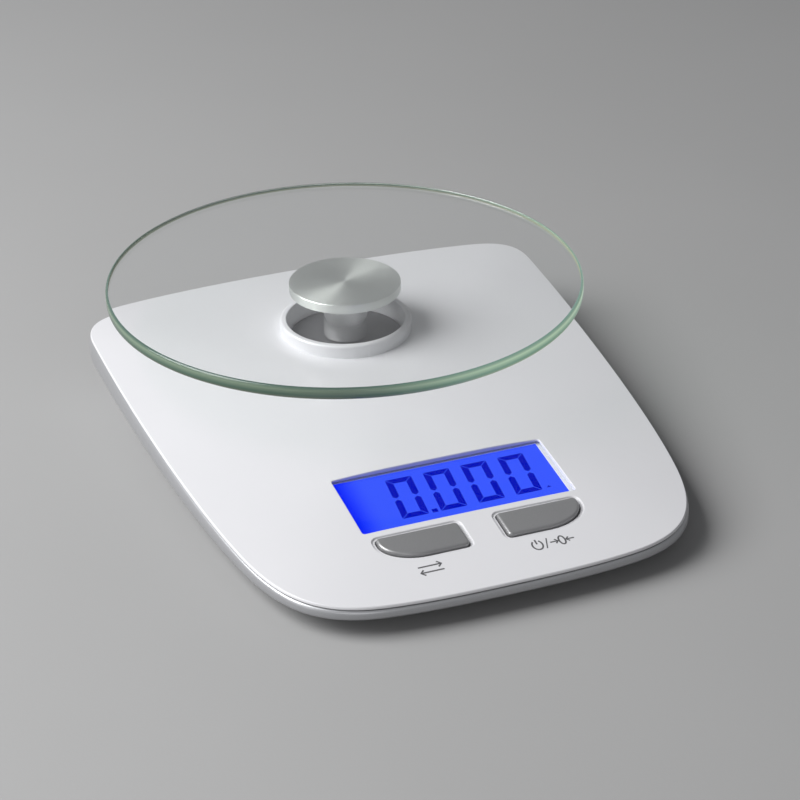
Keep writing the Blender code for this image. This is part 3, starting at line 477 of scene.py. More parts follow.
def shade_by_surface(piece, tolerance=0.04):
    """Gives the faces on the cover's dome the dome's own normals, so that openings leave no marks in it."""
    mesh = piece.data
    mesh.shade_smooth()
    mesh.set_sharp_from_angle(angle=math.radians(35))
    points = np.array([vertex.co for vertex in mesh.vertices]) / MM - (HUB.x / MM, HUB.y / MM, 0)
    on_dome = np.abs(points[:, 2] - cover_height(points[:, 0], points[:, 1])) < tolerance
    dome_normals = cover_normals(points[:, 0], points[:, 1])
    normals = np.array([corner.vector for corner in mesh.corner_normals])
    for face in mesh.polygons:
        if face.normal.z > STEEPEST_TOP_FACE:
            for corner in face.loop_indices:
                vertex = mesh.loops[corner].vertex_index
                if on_dome[vertex]:
                    normals[corner] = dome_normals[vertex]
    mesh.normals_split_custom_set([tuple(normal) for normal in normals])


# ---------------------------------------------------------------- materials

def new_material(name, colour, roughness, metallic=0.0, **sockets):
    material = bpy.data.materials.new(name)
    material.use_nodes = True
    shader = material.node_tree.nodes["Principled BSDF"]
    shader.inputs["Base Color"].default_value = (*colour, 1.0)
    shader.inputs["Roughness"].default_value = roughness
    shader.inputs["Metallic"].default_value = metallic
    for socket, value in sockets.items():
        shader.inputs[socket.replace("_", " ")].default_value = value
    return material


def add_node(owner, kind, settings=None, **inputs):
    """A shader node in a material or world, with its settings, and its inputs set or linked."""
    node = owner.node_tree.nodes.new(kind)
    for attribute, value in (settings or {}).items():
        setattr(node, attribute, value)
    for socket, value in inputs.items():
        target = node.inputs[socket.replace("_", " ")]
        if isinstance(value, bpy.types.NodeSocket):
            owner.node_tree.links.new(value, target)
        else:
            target.default_value = value
    return node


def connect(material, output, socket):
    shader = material.node_tree.nodes["Principled BSDF"]
    material.node_tree.links.new(output, shader.inputs[socket])


def vector_math(material, operation, vector, constant):
    node = add_node(material, "ShaderNodeVectorMath", {"operation": operation})
    material.node_tree.links.new(vector, node.inputs[0])
    node.inputs[1].default_value = constant
    return node


def own_place(material, stretch=(1.0, 1.0, 1.0)):
    """The object's own coordinates, stretched."""
    place = add_node(material, "ShaderNodeTexCoord")
    mapping = add_node(material, "ShaderNodeMapping", Vector=place.outputs["Object"], Scale=stretch)
    return mapping.outputs["Vector"]


def noise(material, scale, detail=3.0, stretch=(1.0, 1.0, 1.0)):
    node = add_node(
        material, "ShaderNodeTexNoise", Vector=own_place(material, stretch), Scale=scale, Detail=detail
    )
    return node.outputs["Fac"]


def between(owner, factor, low, high):
    """Spreads a 0 to 1 pattern between two values."""
    node = add_node(owner, "ShaderNodeMapRange", Value=factor, To_Min=low, To_Max=high)
    return node.outputs["Result"]


def set_ramp(ramp, stops):
    """Fills a colour ramp from (place, colour) stops."""
    elements = ramp.color_ramp.elements
    while len(elements) < len(stops):
        elements.new(1.0)
    for element, (place, colour) in zip(elements, stops):
        element.position = place
        element.color = (*colour, 1.0)


def vary_colour(material, factor, low, high):
    ramp = add_node(material, "ShaderNodeValToRGB", Fac=factor)
    set_ramp(ramp, ((0.3, low), (0.7, high)))
    connect(material, ramp.outputs["Color"], "Base Color")
    return ramp.outputs["Color"]


def add_bump(material, factor, distance, strength=1.0):
    bump = add_node(material, "ShaderNodeBump", Height=factor, Distance=distance, Strength=strength)
    connect(material, bump.outputs["Normal"], "Normal")


def wear_edges(material, colour, worn):
    """Mixes a worn colour into the corners that stand out most."""
    geometry = add_node(material, "ShaderNodeNewGeometry")
    edge = add_node(
        material, "ShaderNodeMapRange", Value=geometry.outputs["Pointiness"],
        From_Min=0.53, From_Max=0.62, To_Max=0.5
    )
    mix = add_node(material, "ShaderNodeMix", {"data_type": "RGBA"}, Factor=edge.outputs["Result"])
    material.node_tree.links.new(colour, mix.inputs[6])
    mix.inputs[7].default_value = (*worn, 1.0)
    connect(material, mix.outputs[2], "Base Color")


def shade(colour, amount):
    return tuple(min(1.0, channel * amount) for channel in colour)


def plastic(name, colour, roughness, grain_scale, grain_height, spread=0.03, **sockets):
    """Moulded plastic: slight colour drift, uneven polish and a fine surface texture."""
    material = new_material(name, colour, roughness, **sockets)
    drift = vary_colour(material, noise(material, 35.0), shade(colour, 1 - spread), shade(colour, 1 + spread))
    wear_edges(material, drift, shade(colour, 1.12))
    polish = between(material, noise(material, 90.0, 5.0), roughness * 0.85, roughness * 1.2)
    connect(material, polish, "Roughness")
    add_bump(material, noise(material, grain_scale, 2.0), grain_height)
    return material


def white_gloss():
    return plastic(
        "white_gloss_plastic", (0.78, 0.78, 0.805), 0.3, 700.0, 0.000004, 0.008,
        Coat_Weight=0.2, Coat_Roughness=0.3
    )


def silver_paint(name, colour, roughness, metallic):
    """Satin paint with metal flakes."""
    material = new_material(name, colour, roughness, metallic, Coat_Weight=0.25, Coat_Roughness=0.15)
    flakes = noise(material, 6000.0, 1.0)
    drift = vary_colour(material, flakes, shade(colour, 0.94), shade(colour, 1.07))
    wear_edges(material, drift, shade(colour, 1.2))
    polish = between(material, noise(material, 120.0, 4.0), roughness * 0.85, roughness * 1.15)
    connect(material, polish, "Roughness")
    add_bump(material, noise(material, 2500.0, 2.0), 0.000004)
    return material


def let_light_through(material, tint):
    """Lets shadow and scattered rays pass a clear material unbent, so that what it covers is lit."""
    tree = material.node_tree
    path = add_node(material, "ShaderNodeLightPath")
    unseen = add_node(material, "ShaderNodeMath", {"operation": "MAXIMUM"})
    tree.links.new(path.outputs["Is Shadow Ray"], unseen.inputs[0])
    tree.links.new(path.outputs["Is Diffuse Ray"], unseen.inputs[1])
    clear = add_node(material, "ShaderNodeBsdfTransparent", Color=(*tint, 1.0))
    mix = add_node(material, "ShaderNodeMixShader", Fac=unseen.outputs["Value"])
    tree.links.new(tree.nodes["Principled BSDF"].outputs["BSDF"], mix.inputs[1])
    tree.links.new(clear.outputs["BSDF"], mix.inputs[2])
    tree.links.new(mix.outputs["Shader"], tree.nodes["Material Output"].inputs["Surface"])


def tempered_glass():
    material = new_material("tempered_glass", (0.995, 1.0, 0.997), 0.0, IOR=1.5, Transmission_Weight=1.0)
    connect(material, between(material, noise(material, 40.0, 4.0), 0.0, 0.012), "Roughness")
    let_light_through(material, (0.98, 0.985, 0.983))
    return material


def glass_rim():
    """The polished rim: the glass's own green, with painted reflection bands by height, and a painted glow
    that brightens towards the right front.
    """
    material = new_material("glass_rim", (0.3, 0.45, 0.38), 0.08, IOR=1.5, Transmission_Weight=0.4)
    place = add_node(material, "ShaderNodeTexCoord")
    axes = add_node(material, "ShaderNodeSeparateXYZ", Vector=place.outputs["Object"])
    low, high = (corner.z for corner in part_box("glass_platter"))
    level = add_node(material, "ShaderNodeMapRange", Value=axes.outputs["Z"], From_Min=low, From_Max=high)
    # Painted reflection bands by height over the glass's own green
    bands = add_node(material, "ShaderNodeValToRGB", Fac=level.outputs["Result"])
    set_ramp(bands, RIM_TINT_AND_REFLECTION_BANDS)
    connect(material, bands.outputs["Color"], "Base Color")
    connect(material, between(material, noise(material, 90.0), 0.04, 0.14), "Roughness")
    # Painted glow: emission that brightens towards the right front, though the rim is no lamp; it takes the
    # colour of the painted bands
    lean = vector_math(material, "DOT_PRODUCT", place.outputs["Object"], (*PAINTED_GLOW_SIDE, 0.0))
    start, end = (Vector(PAINTED_GLOW_SIDE).dot(HUB.xy) + reach for reach in PAINTED_GLOW_REACH)
    glow = add_node(
        material, "ShaderNodeMapRange", {"interpolation_type": "SMOOTHSTEP"}, Value=lean.outputs["Value"],
        From_Min=start, From_Max=end, To_Max=RIM_PAINTED_GLOW
    )
    connect(material, glow.outputs["Result"], "Emission Strength")
    connect(material, bands.outputs["Color"], "Emission Color")
    let_light_through(material, (0.75, 0.86, 0.80))
    return material


def clear_lens():
    """Clear plastic that mirrors little, hence the low index."""
    material = new_material("clear_lens", (0.98, 0.985, 1.0), 0.02, IOR=1.12, Transmission_Weight=1.0)
    connect(material, between(material, noise(material, 60.0), 0.01, 0.03), "Roughness")
    let_light_through(material, (0.96, 0.97, 0.98))
    return material


def hub_rings(material, scale):
    """A pattern of fine circles about the hub's axis."""
    place = add_node(material, "ShaderNodeTexCoord")
    offset = vector_math(material, "SUBTRACT", place.outputs["Object"], (HUB.x, HUB.y, 0.0))
    flat = vector_math(material, "MULTIPLY", offset.outputs["Vector"], (1.0, 1.0, 0.0))
    reach = vector_math(material, "LENGTH", flat.outputs["Vector"], (0.0, 0.0, 0.0))
    rings = add_node(
        material, "ShaderNodeTexNoise", {"noise_dimensions": "1D"},
        W=reach.outputs["Value"], Scale=scale, Detail=4.0
    )
    return rings.outputs["Fac"]


def spun_aluminium():
    """Aluminium faced on a lathe: circular scratches that stretch the highlights into a bow tie."""
    colour = (0.62, 0.645, 0.62)
    material = new_material("spun_aluminium", colour, 0.3, 1.0, Anisotropic=0.7, Anisotropic_Rotation=0.25)
    rings = hub_rings(material, 9000.0)
    vary_colour(material, rings, shade(colour, 0.94), shade(colour, 1.06))
    connect(material, between(material, rings, 0.32, 0.42), "Roughness")
    tangent = add_node(material, "ShaderNodeTangent", {"direction_type": "RADIAL", "axis": "Z"})
    connect(material, tangent.outputs["Tangent"], "Tangent")
    add_bump(material, rings, 0.000003, 0.5)
    return material


def metal(name, colour, roughness, stretch=(1.0, 1.0, 1.0), grain=0.000004):
    """Machined or plated metal with a directional grain and light tarnish."""
    material = new_material(name, colour, roughness, 1.0)
    drift = vary_colour(material, noise(material, 160.0, 4.0), shade(colour, 0.88), shade(colour, 1.08))
    wear_edges(material, drift, shade(colour, 1.25))
    lines = noise(material, 1500.0, 3.0, stretch)
    connect(material, between(material, lines, roughness * 0.75, roughness * 1.3), "Roughness")
    add_bump(material, lines, grain)
    return material


def lcd_blue():
    """The lit panel: even blue that deepens towards its left edge."""
    material = new_material("lcd_blue", (0.0, 0.01, 0.12), 0.3, Emission_Strength=0.9, Specular_IOR_Level=0.0)
    place = add_node(material, "ShaderNodeTexCoord")
    axes = add_node(material, "ShaderNodeSeparateXYZ", Vector=place.outputs["Object"])
    edge = -WINDOW_HALF_WIDTH * MM
    across = add_node(
        material, "ShaderNodeMapRange", {"interpolation_type": "SMOOTHSTEP"}, Value=axes.outputs["X"],
        From_Min=edge, From_Max=edge + 0.010
    )
    ramp = add_node(material, "ShaderNodeValToRGB", Fac=across.outputs["Result"])
    set_ramp(ramp, ((0.0, (0.0, 0.012, 1.0)), (1.0, (0.045, 0.100, 1.0))))
    uneven = between(material, noise(material, 30.0), 0.96, 1.04)
    glow = add_node(material, "ShaderNodeVectorMath", {"operation": "SCALE"}, Scale=uneven)
    material.node_tree.links.new(ramp.outputs["Color"], glow.inputs[0])
    connect(material, glow.outputs["Vector"], "Emission Color")
    return material


def lcd_ink():
    """Dark segments, through which a little of the backlight comes."""
    material = new_material("lcd_ink", (0.0, 0.0, 0.03), 0.3, Emission_Strength=0.8, Specular_IOR_Level=0.0)
    tone = add_node(material, "ShaderNodeValToRGB", Fac=noise(material, 200.0))
    set_ramp(tone, ((0.0, (0.0, 0.004, 0.52)), (1.0, (0.0, 0.006, 0.60))))
    connect(material, tone.outputs["Color"], "Emission Color")
    return material


def cell_film():
    """Printed film: a dark sleeve with a lighter band towards one end."""
    material = new_material("cell_film", (0.10, 0.11, 0.13), 0.28, 0.25, Coat_Weight=0.5)
    bands = add_node(
        material, "ShaderNodeTexWave", {"bands_direction": "Y"},
        Vector=own_place(material), Scale=18.0, Distortion=0.2
    )
    vary_colour(material, bands.outputs["Fac"], (0.05, 0.055, 0.07), (0.55, 0.30, 0.06))
    connect(material, between(material, noise(material, 300.0), 0.22, 0.35), "Roughness")
    return material


def circuit_board():
    material = new_material("circuit_board", (0.015, 0.14, 0.05), 0.35, Coat_Weight=0.4)
    tracks = add_node(
        material, "ShaderNodeTexBrick", Vector=own_place(material), Scale=220.0, Mortar_Size=0.06,
        Color1=(0.012, 0.15, 0.05, 1.0), Color2=(0.014, 0.17, 0.06, 1.0), Mortar=(0.03, 0.26, 0.11, 1.0)
    )
    connect(material, tracks.outputs["Color"], "Base Color")
    add_bump(material, tracks.outputs["Fac"], 0.00002)
    return material


def studio_floor():
    colour = (0.40, 0.40, 0.40)
    material = new_material("studio_floor", colour, 0.75)
    vary_colour(material, noise(material, 6.0), shade(colour, 0.985), shade(colour, 1.015))
    add_bump(material, noise(material, 900.0), 0.00002)
    return material


MATERIALS = {
    "white_gloss": white_gloss(),
    "silver_shell": silver_paint("silver_shell_paint", (0.41, 0.415, 0.43), 0.34, 0.45),
    "silver_button": silver_paint("button_paint", (0.305, 0.305, 0.31), 0.34, 0.5),
    "tempered_glass": tempered_glass(),
    "brushed_aluminium": spun_aluminium(),
    "bare_aluminium": metal("milled_aluminium", (0.55, 0.56, 0.57), 0.4, (1.0, 0.06, 1.0)),
    "silver_metal": silver_paint("satin_post_paint", (0.88, 0.885, 0.89), 0.24, 0.75),
    "dark_plastic": plastic("dark_textured_plastic", (0.075, 0.075, 0.08), 0.5, 1800.0, 0.00003, 0.08),
    "clear_lens": clear_lens(),
    "blue_lcd": lcd_blue(),
    "white_plastic": plastic("diffuser_plastic", (0.80, 0.80, 0.80), 0.45, 900.0, 0.00001),
    "connector_rubber": plastic("connector_rubber", (0.62, 0.60, 0.58), 0.6, 1200.0, 0.00002, 0.1),
    "green_board": circuit_board(),
    "black_epoxy": plastic("black_epoxy", (0.02, 0.02, 0.02), 0.45, 1600.0, 0.00002, 0.15),
    "capacitor_sleeve": plastic("capacitor_sleeve", (0.03, 0.03, 0.06), 0.3, 500.0, 0.000005, 0.1),
    "nickel": metal("nickel_plate", (0.62, 0.60, 0.56), 0.22),
    "steel": metal("zinc_plated_steel", (0.50, 0.50, 0.52), 0.3),
    "foot_rubber": plastic("foot_rubber", (0.028, 0.028, 0.028), 0.8, 1500.0, 0.00003, 0.15),
    "white_silicone": plastic("white_silicone", (0.75, 0.75, 0.72), 0.6, 800.0, 0.00002),
    "cell_wrap": cell_film(),
    "red_insulation": plastic("red_insulation", (0.45, 0.02, 0.02), 0.45, 1000.0, 0.00001, 0.1),
    "black_insulation": plastic("black_insulation", (0.03, 0.03, 0.03), 0.45, 1000.0, 0.00001, 0.1),
}


def dress_cad_nodes():
    """Gives every CAD node the material of its slot."""
    for subpart in frame["record"]["subparts"]:
        mesh = frame["nodes"][subpart["node"]].data
        mesh.materials.clear()
        mesh.materials.append(MATERIALS[subpart["material_slot"]])


# ---------------------------------------------------------------- platter

def round_edge(radius, low, high, bevel, steps=5):
    """Profile down a disc's rim with both corners rounded."""
    upper = [(radius - bevel * (1 - math.sin(a)), high - bevel * (1 - math.cos(a)))
             for a in np.radians(np.linspace(0, 90, steps))]
    lower = [(r, low + high - z) for r, z in reversed(upper)]
    return upper + lower


def node_span(node):
    """A round node's radius, lowest and highest level in millimetres."""
    low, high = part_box(node)
    return (high.x - low.x) / 2 / MM, low.z / MM, high.z / MM


def make_glass():
    radius, low, high = node_span("glass_platter")
    rim = round_edge(radius, low, high, GLASS_BEVEL)
    flat = radius - GLASS_BEVEL - GLASS_FLAT_MARGIN
    profile = [(0.0, high), (flat, high), *rim, (flat, low), (0.0, low)]
    piece = add_mesh("platter_glass_polished", turned(profile, steps=256))
    finish_piece(piece, "platter", "tempered_glass", ["glass_platter"], 50)
    piece.data.materials.append(glass_rim())
    for polygon in piece.data.polygons:
        centre = polygon.center - HUB
        if math.hypot(centre.x, centre.y) > (radius - GLASS_BEVEL) * MM:
            polygon.material_index = 1


def make_hub():
    radius, low, high = node_span("hub_disc")
    face = high - DISC_THICKNESS
    rim = round_edge(radius, face, high, 0.28)
    disc = [(0.0, high), *rim, (SPIGOT_RADIUS, face), (SPIGOT_RADIUS, low), (SCREW_HOLE, low),
            (SCREW_HOLE, face + 1.0), (0.0, face + 1.0)]
    piece = add_mesh("spun_hub_disc", turned(disc))
    finish_piece(piece, "platter", "brushed_aluminium", ["hub_disc"])
    radius, low, high = node_span("hub_post")
    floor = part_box("hub_disc")[0].z / MM - 0.3
    bore = SPIGOT_RADIUS + 0.3
    rim = round_edge(radius, low, high, 0.35)
    post = [(bore, high), *rim, (SCREW_HOLE, low), (SCREW_HOLE, floor), (bore, floor)]
    piece = add_mesh("satin_hub_post", turned(post, steps=96, closed=True))
    finish_piece(piece, "platter", "silver_metal", ["hub_post"])
    make_carrier()


def make_carrier():
    radius, low, high = node_span("platter_carrier")
    flange = high - CARRIER_FLANGE
    rim = round_edge(radius, flange, high, 0.3)
    carrier = turned([(0.0, high), *rim, (CARRIER_BOSS, flange), (CARRIER_BOSS, low), (0.0, low)])
    piece = add_mesh("textured_platter_carrier", carrier)
    reach, step = HUB_SCREW_ROOM
    profile = [(0.0, low - 1), (reach, low - 1), (reach, low + step), (SCREW_HOLE, low + step),
               (SCREW_HOLE, high + 1), (0.0, high + 1)]
    head_room = turned(profile, steps=48)
    holes = [cylinder(SCREW_HOLE, low - 1, low + FREE_END_DEPTH, (0.0, y), 32) for y in FREE_END_Y]
    carve(piece, "DIFFERENCE", group([head_room, *holes]))
    finish_piece(piece, "platter", "dark_plastic", ["platter_carrier"])


# ---------------------------------------------------------------- cover

def cover_edge_rings():
    """The cover's rounded edge, from its top face down to the seam."""
    rings = []
    for angle in np.radians(np.linspace(0, 90, EDGE_STEPS)):
        inset = EDGE_INSET * (1 - math.sin(angle))
        fall = 1 - math.cos(angle)
        rings.append(housing_ring(inset, lambda x, y, fall=fall: edge_height(x, y, fall)))
    return rings


def edge_height(x, y, fall):
    top = cover_height(x, y)
    return top - fall * (top - seam_height(y) - 0.2)


def under_cover(x, y):
    return cover_height(x, y) - COVER_WALL


def cover_body():
    shares = np.linspace(0, 1, COVER_RINGS + 1)[1:-1]
    top = [housing_ring(EDGE_INSET * share, cover_height, share) for share in shares]
    inside = [housing_ring(COVER_INNER_INSET * share, under_cover, share) for share in shares]
    middle_height = cover_height(0.0, HOUSING_MIDDLE_Y)
    lip = [housing_ring(inset, lambda x, y, drop=drop: seam_height(y) - drop) for inset, drop in COVER_LIP]
    lip.append(housing_ring(COVER_INNER_INSET, under_cover))
    start = [(0.0, HOUSING_MIDDLE_Y, middle_height)]
    end = [(0.0, HOUSING_MIDDLE_Y, middle_height - COVER_WALL)]
    return loft([start, *top, *cover_edge_rings(), *lip, *inside[::-1], end])


def collar_body():
    lip = [(COLLAR_RADIUS - COLLAR_ROUND * (1 - math.sin(a)), COLLAR_TOP - COLLAR_ROUND * (1 - math.cos(a)))
           for a in np.radians(np.linspace(0, 90, 8))]
    return turned([(0.0, COLLAR_TOP), *lip, (COLLAR_RADIUS, COLLAR_BOTTOM), (0.0, COLLAR_BOTTOM)])


def bore_body():
    """The collar's bore, flared to round its inner edge."""
    flare = [(COLLAR_BORE + BORE_ROUND * (1 - math.sin(a)), COLLAR_TOP - BORE_ROUND * (1 - math.cos(a)))
             for a in np.radians(np.linspace(12, 90, 5))]
    mouth = [(COLLAR_BORE + 0.8, COLLAR_TOP + 0.1), (COLLAR_BORE + 0.8, COLLAR_TOP + 1)]
    return turned([(0.0, COLLAR_BOTTOM - 1), (COLLAR_BORE, COLLAR_BOTTOM - 1), *flare[::-1], *mouth,
                   (0.0, COLLAR_TOP + 1)])


def window_outline(grow):
    x, y, radius = WINDOW_HALF_WIDTH + grow, WINDOW_HALF_DEPTH + grow, 1.0
    points = []
    for corner_x, corner_y, start in ((x, y, 0), (-x, y, 90), (-x, -y, 180), (x, -y, 270)):
        centre = (corner_x - math.copysign(radius, corner_x), corner_y - math.copysign(radius, corner_y))
        points += arc(centre, (radius, radius), start, start + 90, 6)
    return points


def button_outline(side, grow):
    """Button outline, grown outwards. side is 1 for the right-hand button and -1 for its mirror image."""
    inner, outer = BUTTON_INNER - grow, BUTTON_OUTER + grow
    back, front = BUTTON_BACK + grow, BUTTON_FRONT - grow
    small = BUTTON_CORNER + grow
    wide, deep = (reach + grow for reach in BUTTON_SWEEP)
    points = arc((inner + small, front + small), (small, small), 180, 270, 6)
    points += arc((outer - wide, front + deep), (wide, deep), 270, 360, 28)
    points += arc((outer - small, back - small), (small, small), 0, 90, 6)
    points += arc((inner + small, back - small), (small, small), 90, 180, 6)
    return [(side * x, y) for x, y in points]


def bezel_cutter(side):
    """The shallow step round a button, with a rounded outer edge."""
    rounding = 0.4
    rings = []
    for angle in np.radians(np.linspace(14, 90, 5)):
        outline = button_outline(side, BEZEL_WIDTH + rounding * (1 - math.sin(angle)))
        rings.append(sunken_ring(outline, rounding * (1 - math.cos(angle))))
    floor = sunken_ring(button_outline(side, BEZEL_WIDTH - 0.1), BEZEL_DEPTH + 0.05)
    mouth = sunken_ring(button_outline(side, BEZEL_WIDTH + rounding + 0.4), -0.1)
    lid = sunken_ring(button_outline(side, BEZEL_WIDTH + rounding + 0.4), -2.0)
    return loft([floor, *rings[::-1], mouth, lid])


def make_cover():
    piece = add_mesh("top_cover_moulded", cover_body())
    bosses = [cylinder(COVER_BOSS, BOSS_SPLIT + 0.3, float(cover_height(*centre)) - 1, centre, 32)
              for centre in HOUSING_SCREWS]
    carve(piece, "UNION", group([collar_body(), *bosses]))
    carve(piece, "DIFFERENCE", bore_body())
    carve(piece, "DIFFERENCE", surface_cutter(window_outline, WINDOW_ROUND))
    for side in (1, -1):
        carve(piece, "DIFFERENCE", bezel_cutter(side))
        well = prism(button_outline(side, BUTTON_CLEARANCE), -8.0, 3.0)
        carve(piece, "DIFFERENCE", on_display(well))
    pocket_x, pocket_y = WINDOW_HALF_WIDTH + POCKET_MARGINS[0], WINDOW_HALF_DEPTH + POCKET_MARGINS[1]
    pocket = block((-pocket_x, pocket_x), (-pocket_y, pocket_y), (POCKET_FLOOR, POCKET_CEILING))
    carve(piece, "DIFFERENCE", on_display(pocket))
    shade_by_surface(piece)
    finish_piece(piece, "housing", "white_gloss", ["top_cover"])


def make_buttons():
    for name, side in (("unit", -1), ("tare", 1)):
        edge = [(-BUTTON_ROUND * (1 - math.sin(a)), BUTTON_PROUD - BUTTON_ROUND * (1 - math.cos(a)) * 0.8)
                for a in np.radians(np.linspace(0, 90, 7))]
        rings = [[(x, y, z) for x, y in button_outline(side, grow)] for grow, z in [*edge, *BUTTON_FLANGE]]
        piece = add_mesh(name + "_button_painted", on_display(loft(rings)))
        node = name + "_button"
        finish_piece(piece, name + "_key", "silver_button", [node], 40)


# ---------------------------------------------------------------- display

def digit_segments(left):
    """The six outer segments of a zero as outlines in the panel's plane."""
    width, height, stroke, gap = DIGIT_WIDTH, DIGIT_HEIGHT, DIGIT_STROKE, DIGIT_GAP
    middle = height / 2
    top = [(gap, height), (width - gap, height), (width - stroke - gap, height - stroke),
           (stroke + gap, height - stroke)]
    upper = [(0, height - gap), (stroke, height - stroke - gap), (stroke, middle + stroke * 0.6),
             (stroke / 2, middle + gap * 2), (0, middle + stroke * 0.6)]
    shapes = []
    for shape in (top, upper):
        mirrored = [(x, height - y) for x, y in shape]
        shapes += [shape, mirrored]
    shapes += [[(width - x, y) for x, y in shape] for shape in shapes[2:]]
    return [[(left + x + y * DIGIT_LEAN, y) for x, y in shape] for shape in shapes]


def make_digits():
    bottom = (DIGIT_BOTTOM - DISPLAY_Y) / math.cos(math.atan(DISPLAY_SLOPE))
    shapes = []
    for number in range(DIGIT_COUNT):
        shapes += digit_segments(DIGIT_LEFT + number * DIGIT_PITCH)
    point = DIGIT_LEFT + DIGIT_PITCH - 2.7
    shapes.append([(point, 0), (point + 1.8, 0), (point + 1.9, 1.7), (point + 0.1, 1.7)])
    mark = DIGIT_LEFT + DIGIT_COUNT * DIGIT_PITCH - 2.2
    shapes.append([(mark, 0.6), (mark + 1.5, 0.6), (mark + 0.75, 1.4)])
    bodies = []
    for shape in shapes:
        raised = [(x, y + bottom) for x, y in shape]
        bodies.append(prism(raised, PANEL_TOP + 0.01, PANEL_TOP + 0.01 + PRINT_THICKNESS))
    piece = add_mesh("display_segments", on_display(group(bodies)))
    finish_piece(piece, "housing", "blue_lcd", material=lcd_ink())


def make_display_border():
    """The white frame between panel and lens. It shows only at the window's right-hand side, as a painted
    highlight in place of the brightly lit right wall.
    """
    low, high = PANEL_TOP + 0.01, LENS_BOTTOM - 0.01
    # Only the right side is drawn inward into the window: a painted highlight
    inside = [(min(x, WINDOW_HALF_WIDTH - BORDER_SHOWN_AS_HIGHLIGHT), y) for x, y in window_outline(0.0)]
    outside = window_outline(BORDER_WIDTH)
    levels = ((inside, high), (outside, high), (outside, low), (inside, low))
    rings = [[(x, y, z) for x, y in outline] for outline, z in levels]
    piece = add_mesh("display_border_highlight", on_display(loft(rings, closed=True)))
    finish_piece(piece, "housing", "white_plastic")


# ---------------------------------------------------------------- printed signs

def stroke_body(points, width, closed=False):
    """A printed line of one width along points on the cover's top face."""
    path = np.array(points, float)
    ahead = np.roll(path, -1, axis=0) if closed else np.vstack([path[1:], 2 * path[-1] - path[-2]])
    behind = np.roll(path, 1, axis=0) if closed else np.vstack([2 * path[0] - path[1], path[:-1]])
    along = ahead - behind
    along /= np.linalg.norm(along, axis=1, keepdims=True)
    side = np.stack([-along[:, 1], along[:, 0]], axis=1) * width / 2
    rings = []
    for left, right in zip(path + side, path - side):
        ring = [(*left, 1), (*right, 1), (*right, 0), (*left, 0)]
        rings.append([(x, y, float(cover_height(x, y)) + (PRINT_THICKNESS if up else -0.1))
                      for x, y, up in ring])
    return loft(rings, closed)


def arrow(x, y, length, way, head=1.2, width=0.55):
    tip = x + way * length / 2
    shaft = [(x - way * length / 2, y), (x, y), (tip - way * 0.3, y)]
    barbs = [(tip - way * head, y + head), (tip, y), (tip - way * head, y - head)]
    return [stroke_body(shaft, width), stroke_body(barbs, width)]


def make_signs():
    """Generic signs for the buttons: two arrows for changing unit, and power with a zero between arrows."""
    unit_x, power_x, slash_x, zero_x = -21.5, 12.6, 15.6, 20.6
    thick, thin = 0.52, 0.38
    y = SIGNS_Y
    signs = arrow(unit_x, y + 1.3, 7.4, 1) + arrow(unit_x, y - 1.3, 7.4, -1)
    signs.append(stroke_body(arc((power_x, y), (1.6, 2.1), 125, 415, SIGN_STEPS), thick))
    signs.append(stroke_body([(power_x, y + 0.4), (power_x, y + 1.4), (power_x, y + 2.5)], thick))
    signs.append(stroke_body([(slash_x - 0.7, y - 2.2), (slash_x, y), (slash_x + 0.7, y + 2.2)], thin))
    zero = arc((zero_x, y), (0.95, 1.9), 0, 360, SIGN_STEPS)[:-1]
    signs.append(stroke_body(zero, thick, closed=True))
    for way in (1, -1):
        signs += arrow(zero_x - 2.6 * way, y, 2.6, way, 0.95, 0.48)
    ink = plastic("grey_print", (0.10, 0.10, 0.105), 0.4, 1200.0, 0.000003, 0.06)
    finish_piece(add_mesh("button_signs", group(signs)), "housing", "white_gloss", material=ink)


# ---------------------------------------------------------------- shell and underside

def shell_body():
    rows = [*smooth_rows(SHELL_OUTER, 4), *SHELL_INNER]
    rings = [housing_ring(inset, down_shell(share, *lift)) for inset, share, *lift in rows]
    middle = (0.0, HOUSING_MIDDLE_Y)
    return loft([[(*middle, UNDERSIDE)], *rings, [(*middle, INNER_FLOOR)]])


def stepped_hole(head_radius, head_depth, bore_radius, top, centre):
    low = UNDERSIDE - 1
    mouth = head_radius + 0.4
    profile = [(0, low), (mouth + 0.3, low), (mouth, UNDERSIDE - 0.05), (head_radius, UNDERSIDE + 0.4),
               (head_radius, head_depth), (bore_radius, head_depth), (bore_radius, top), (0, top)]
    return turned(profile, centre, 48)


def feet_places():
    """Centre and radius of every foot."""
    places = {}
    for node in frame["nodes"]:
        if node.startswith("foot_"):
            low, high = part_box(node)
            centre = (low + high) / 2 - HUB
            places[node] = (centre.x / MM, centre.y / MM), (high.x - low.x) / 2 / MM
    return places


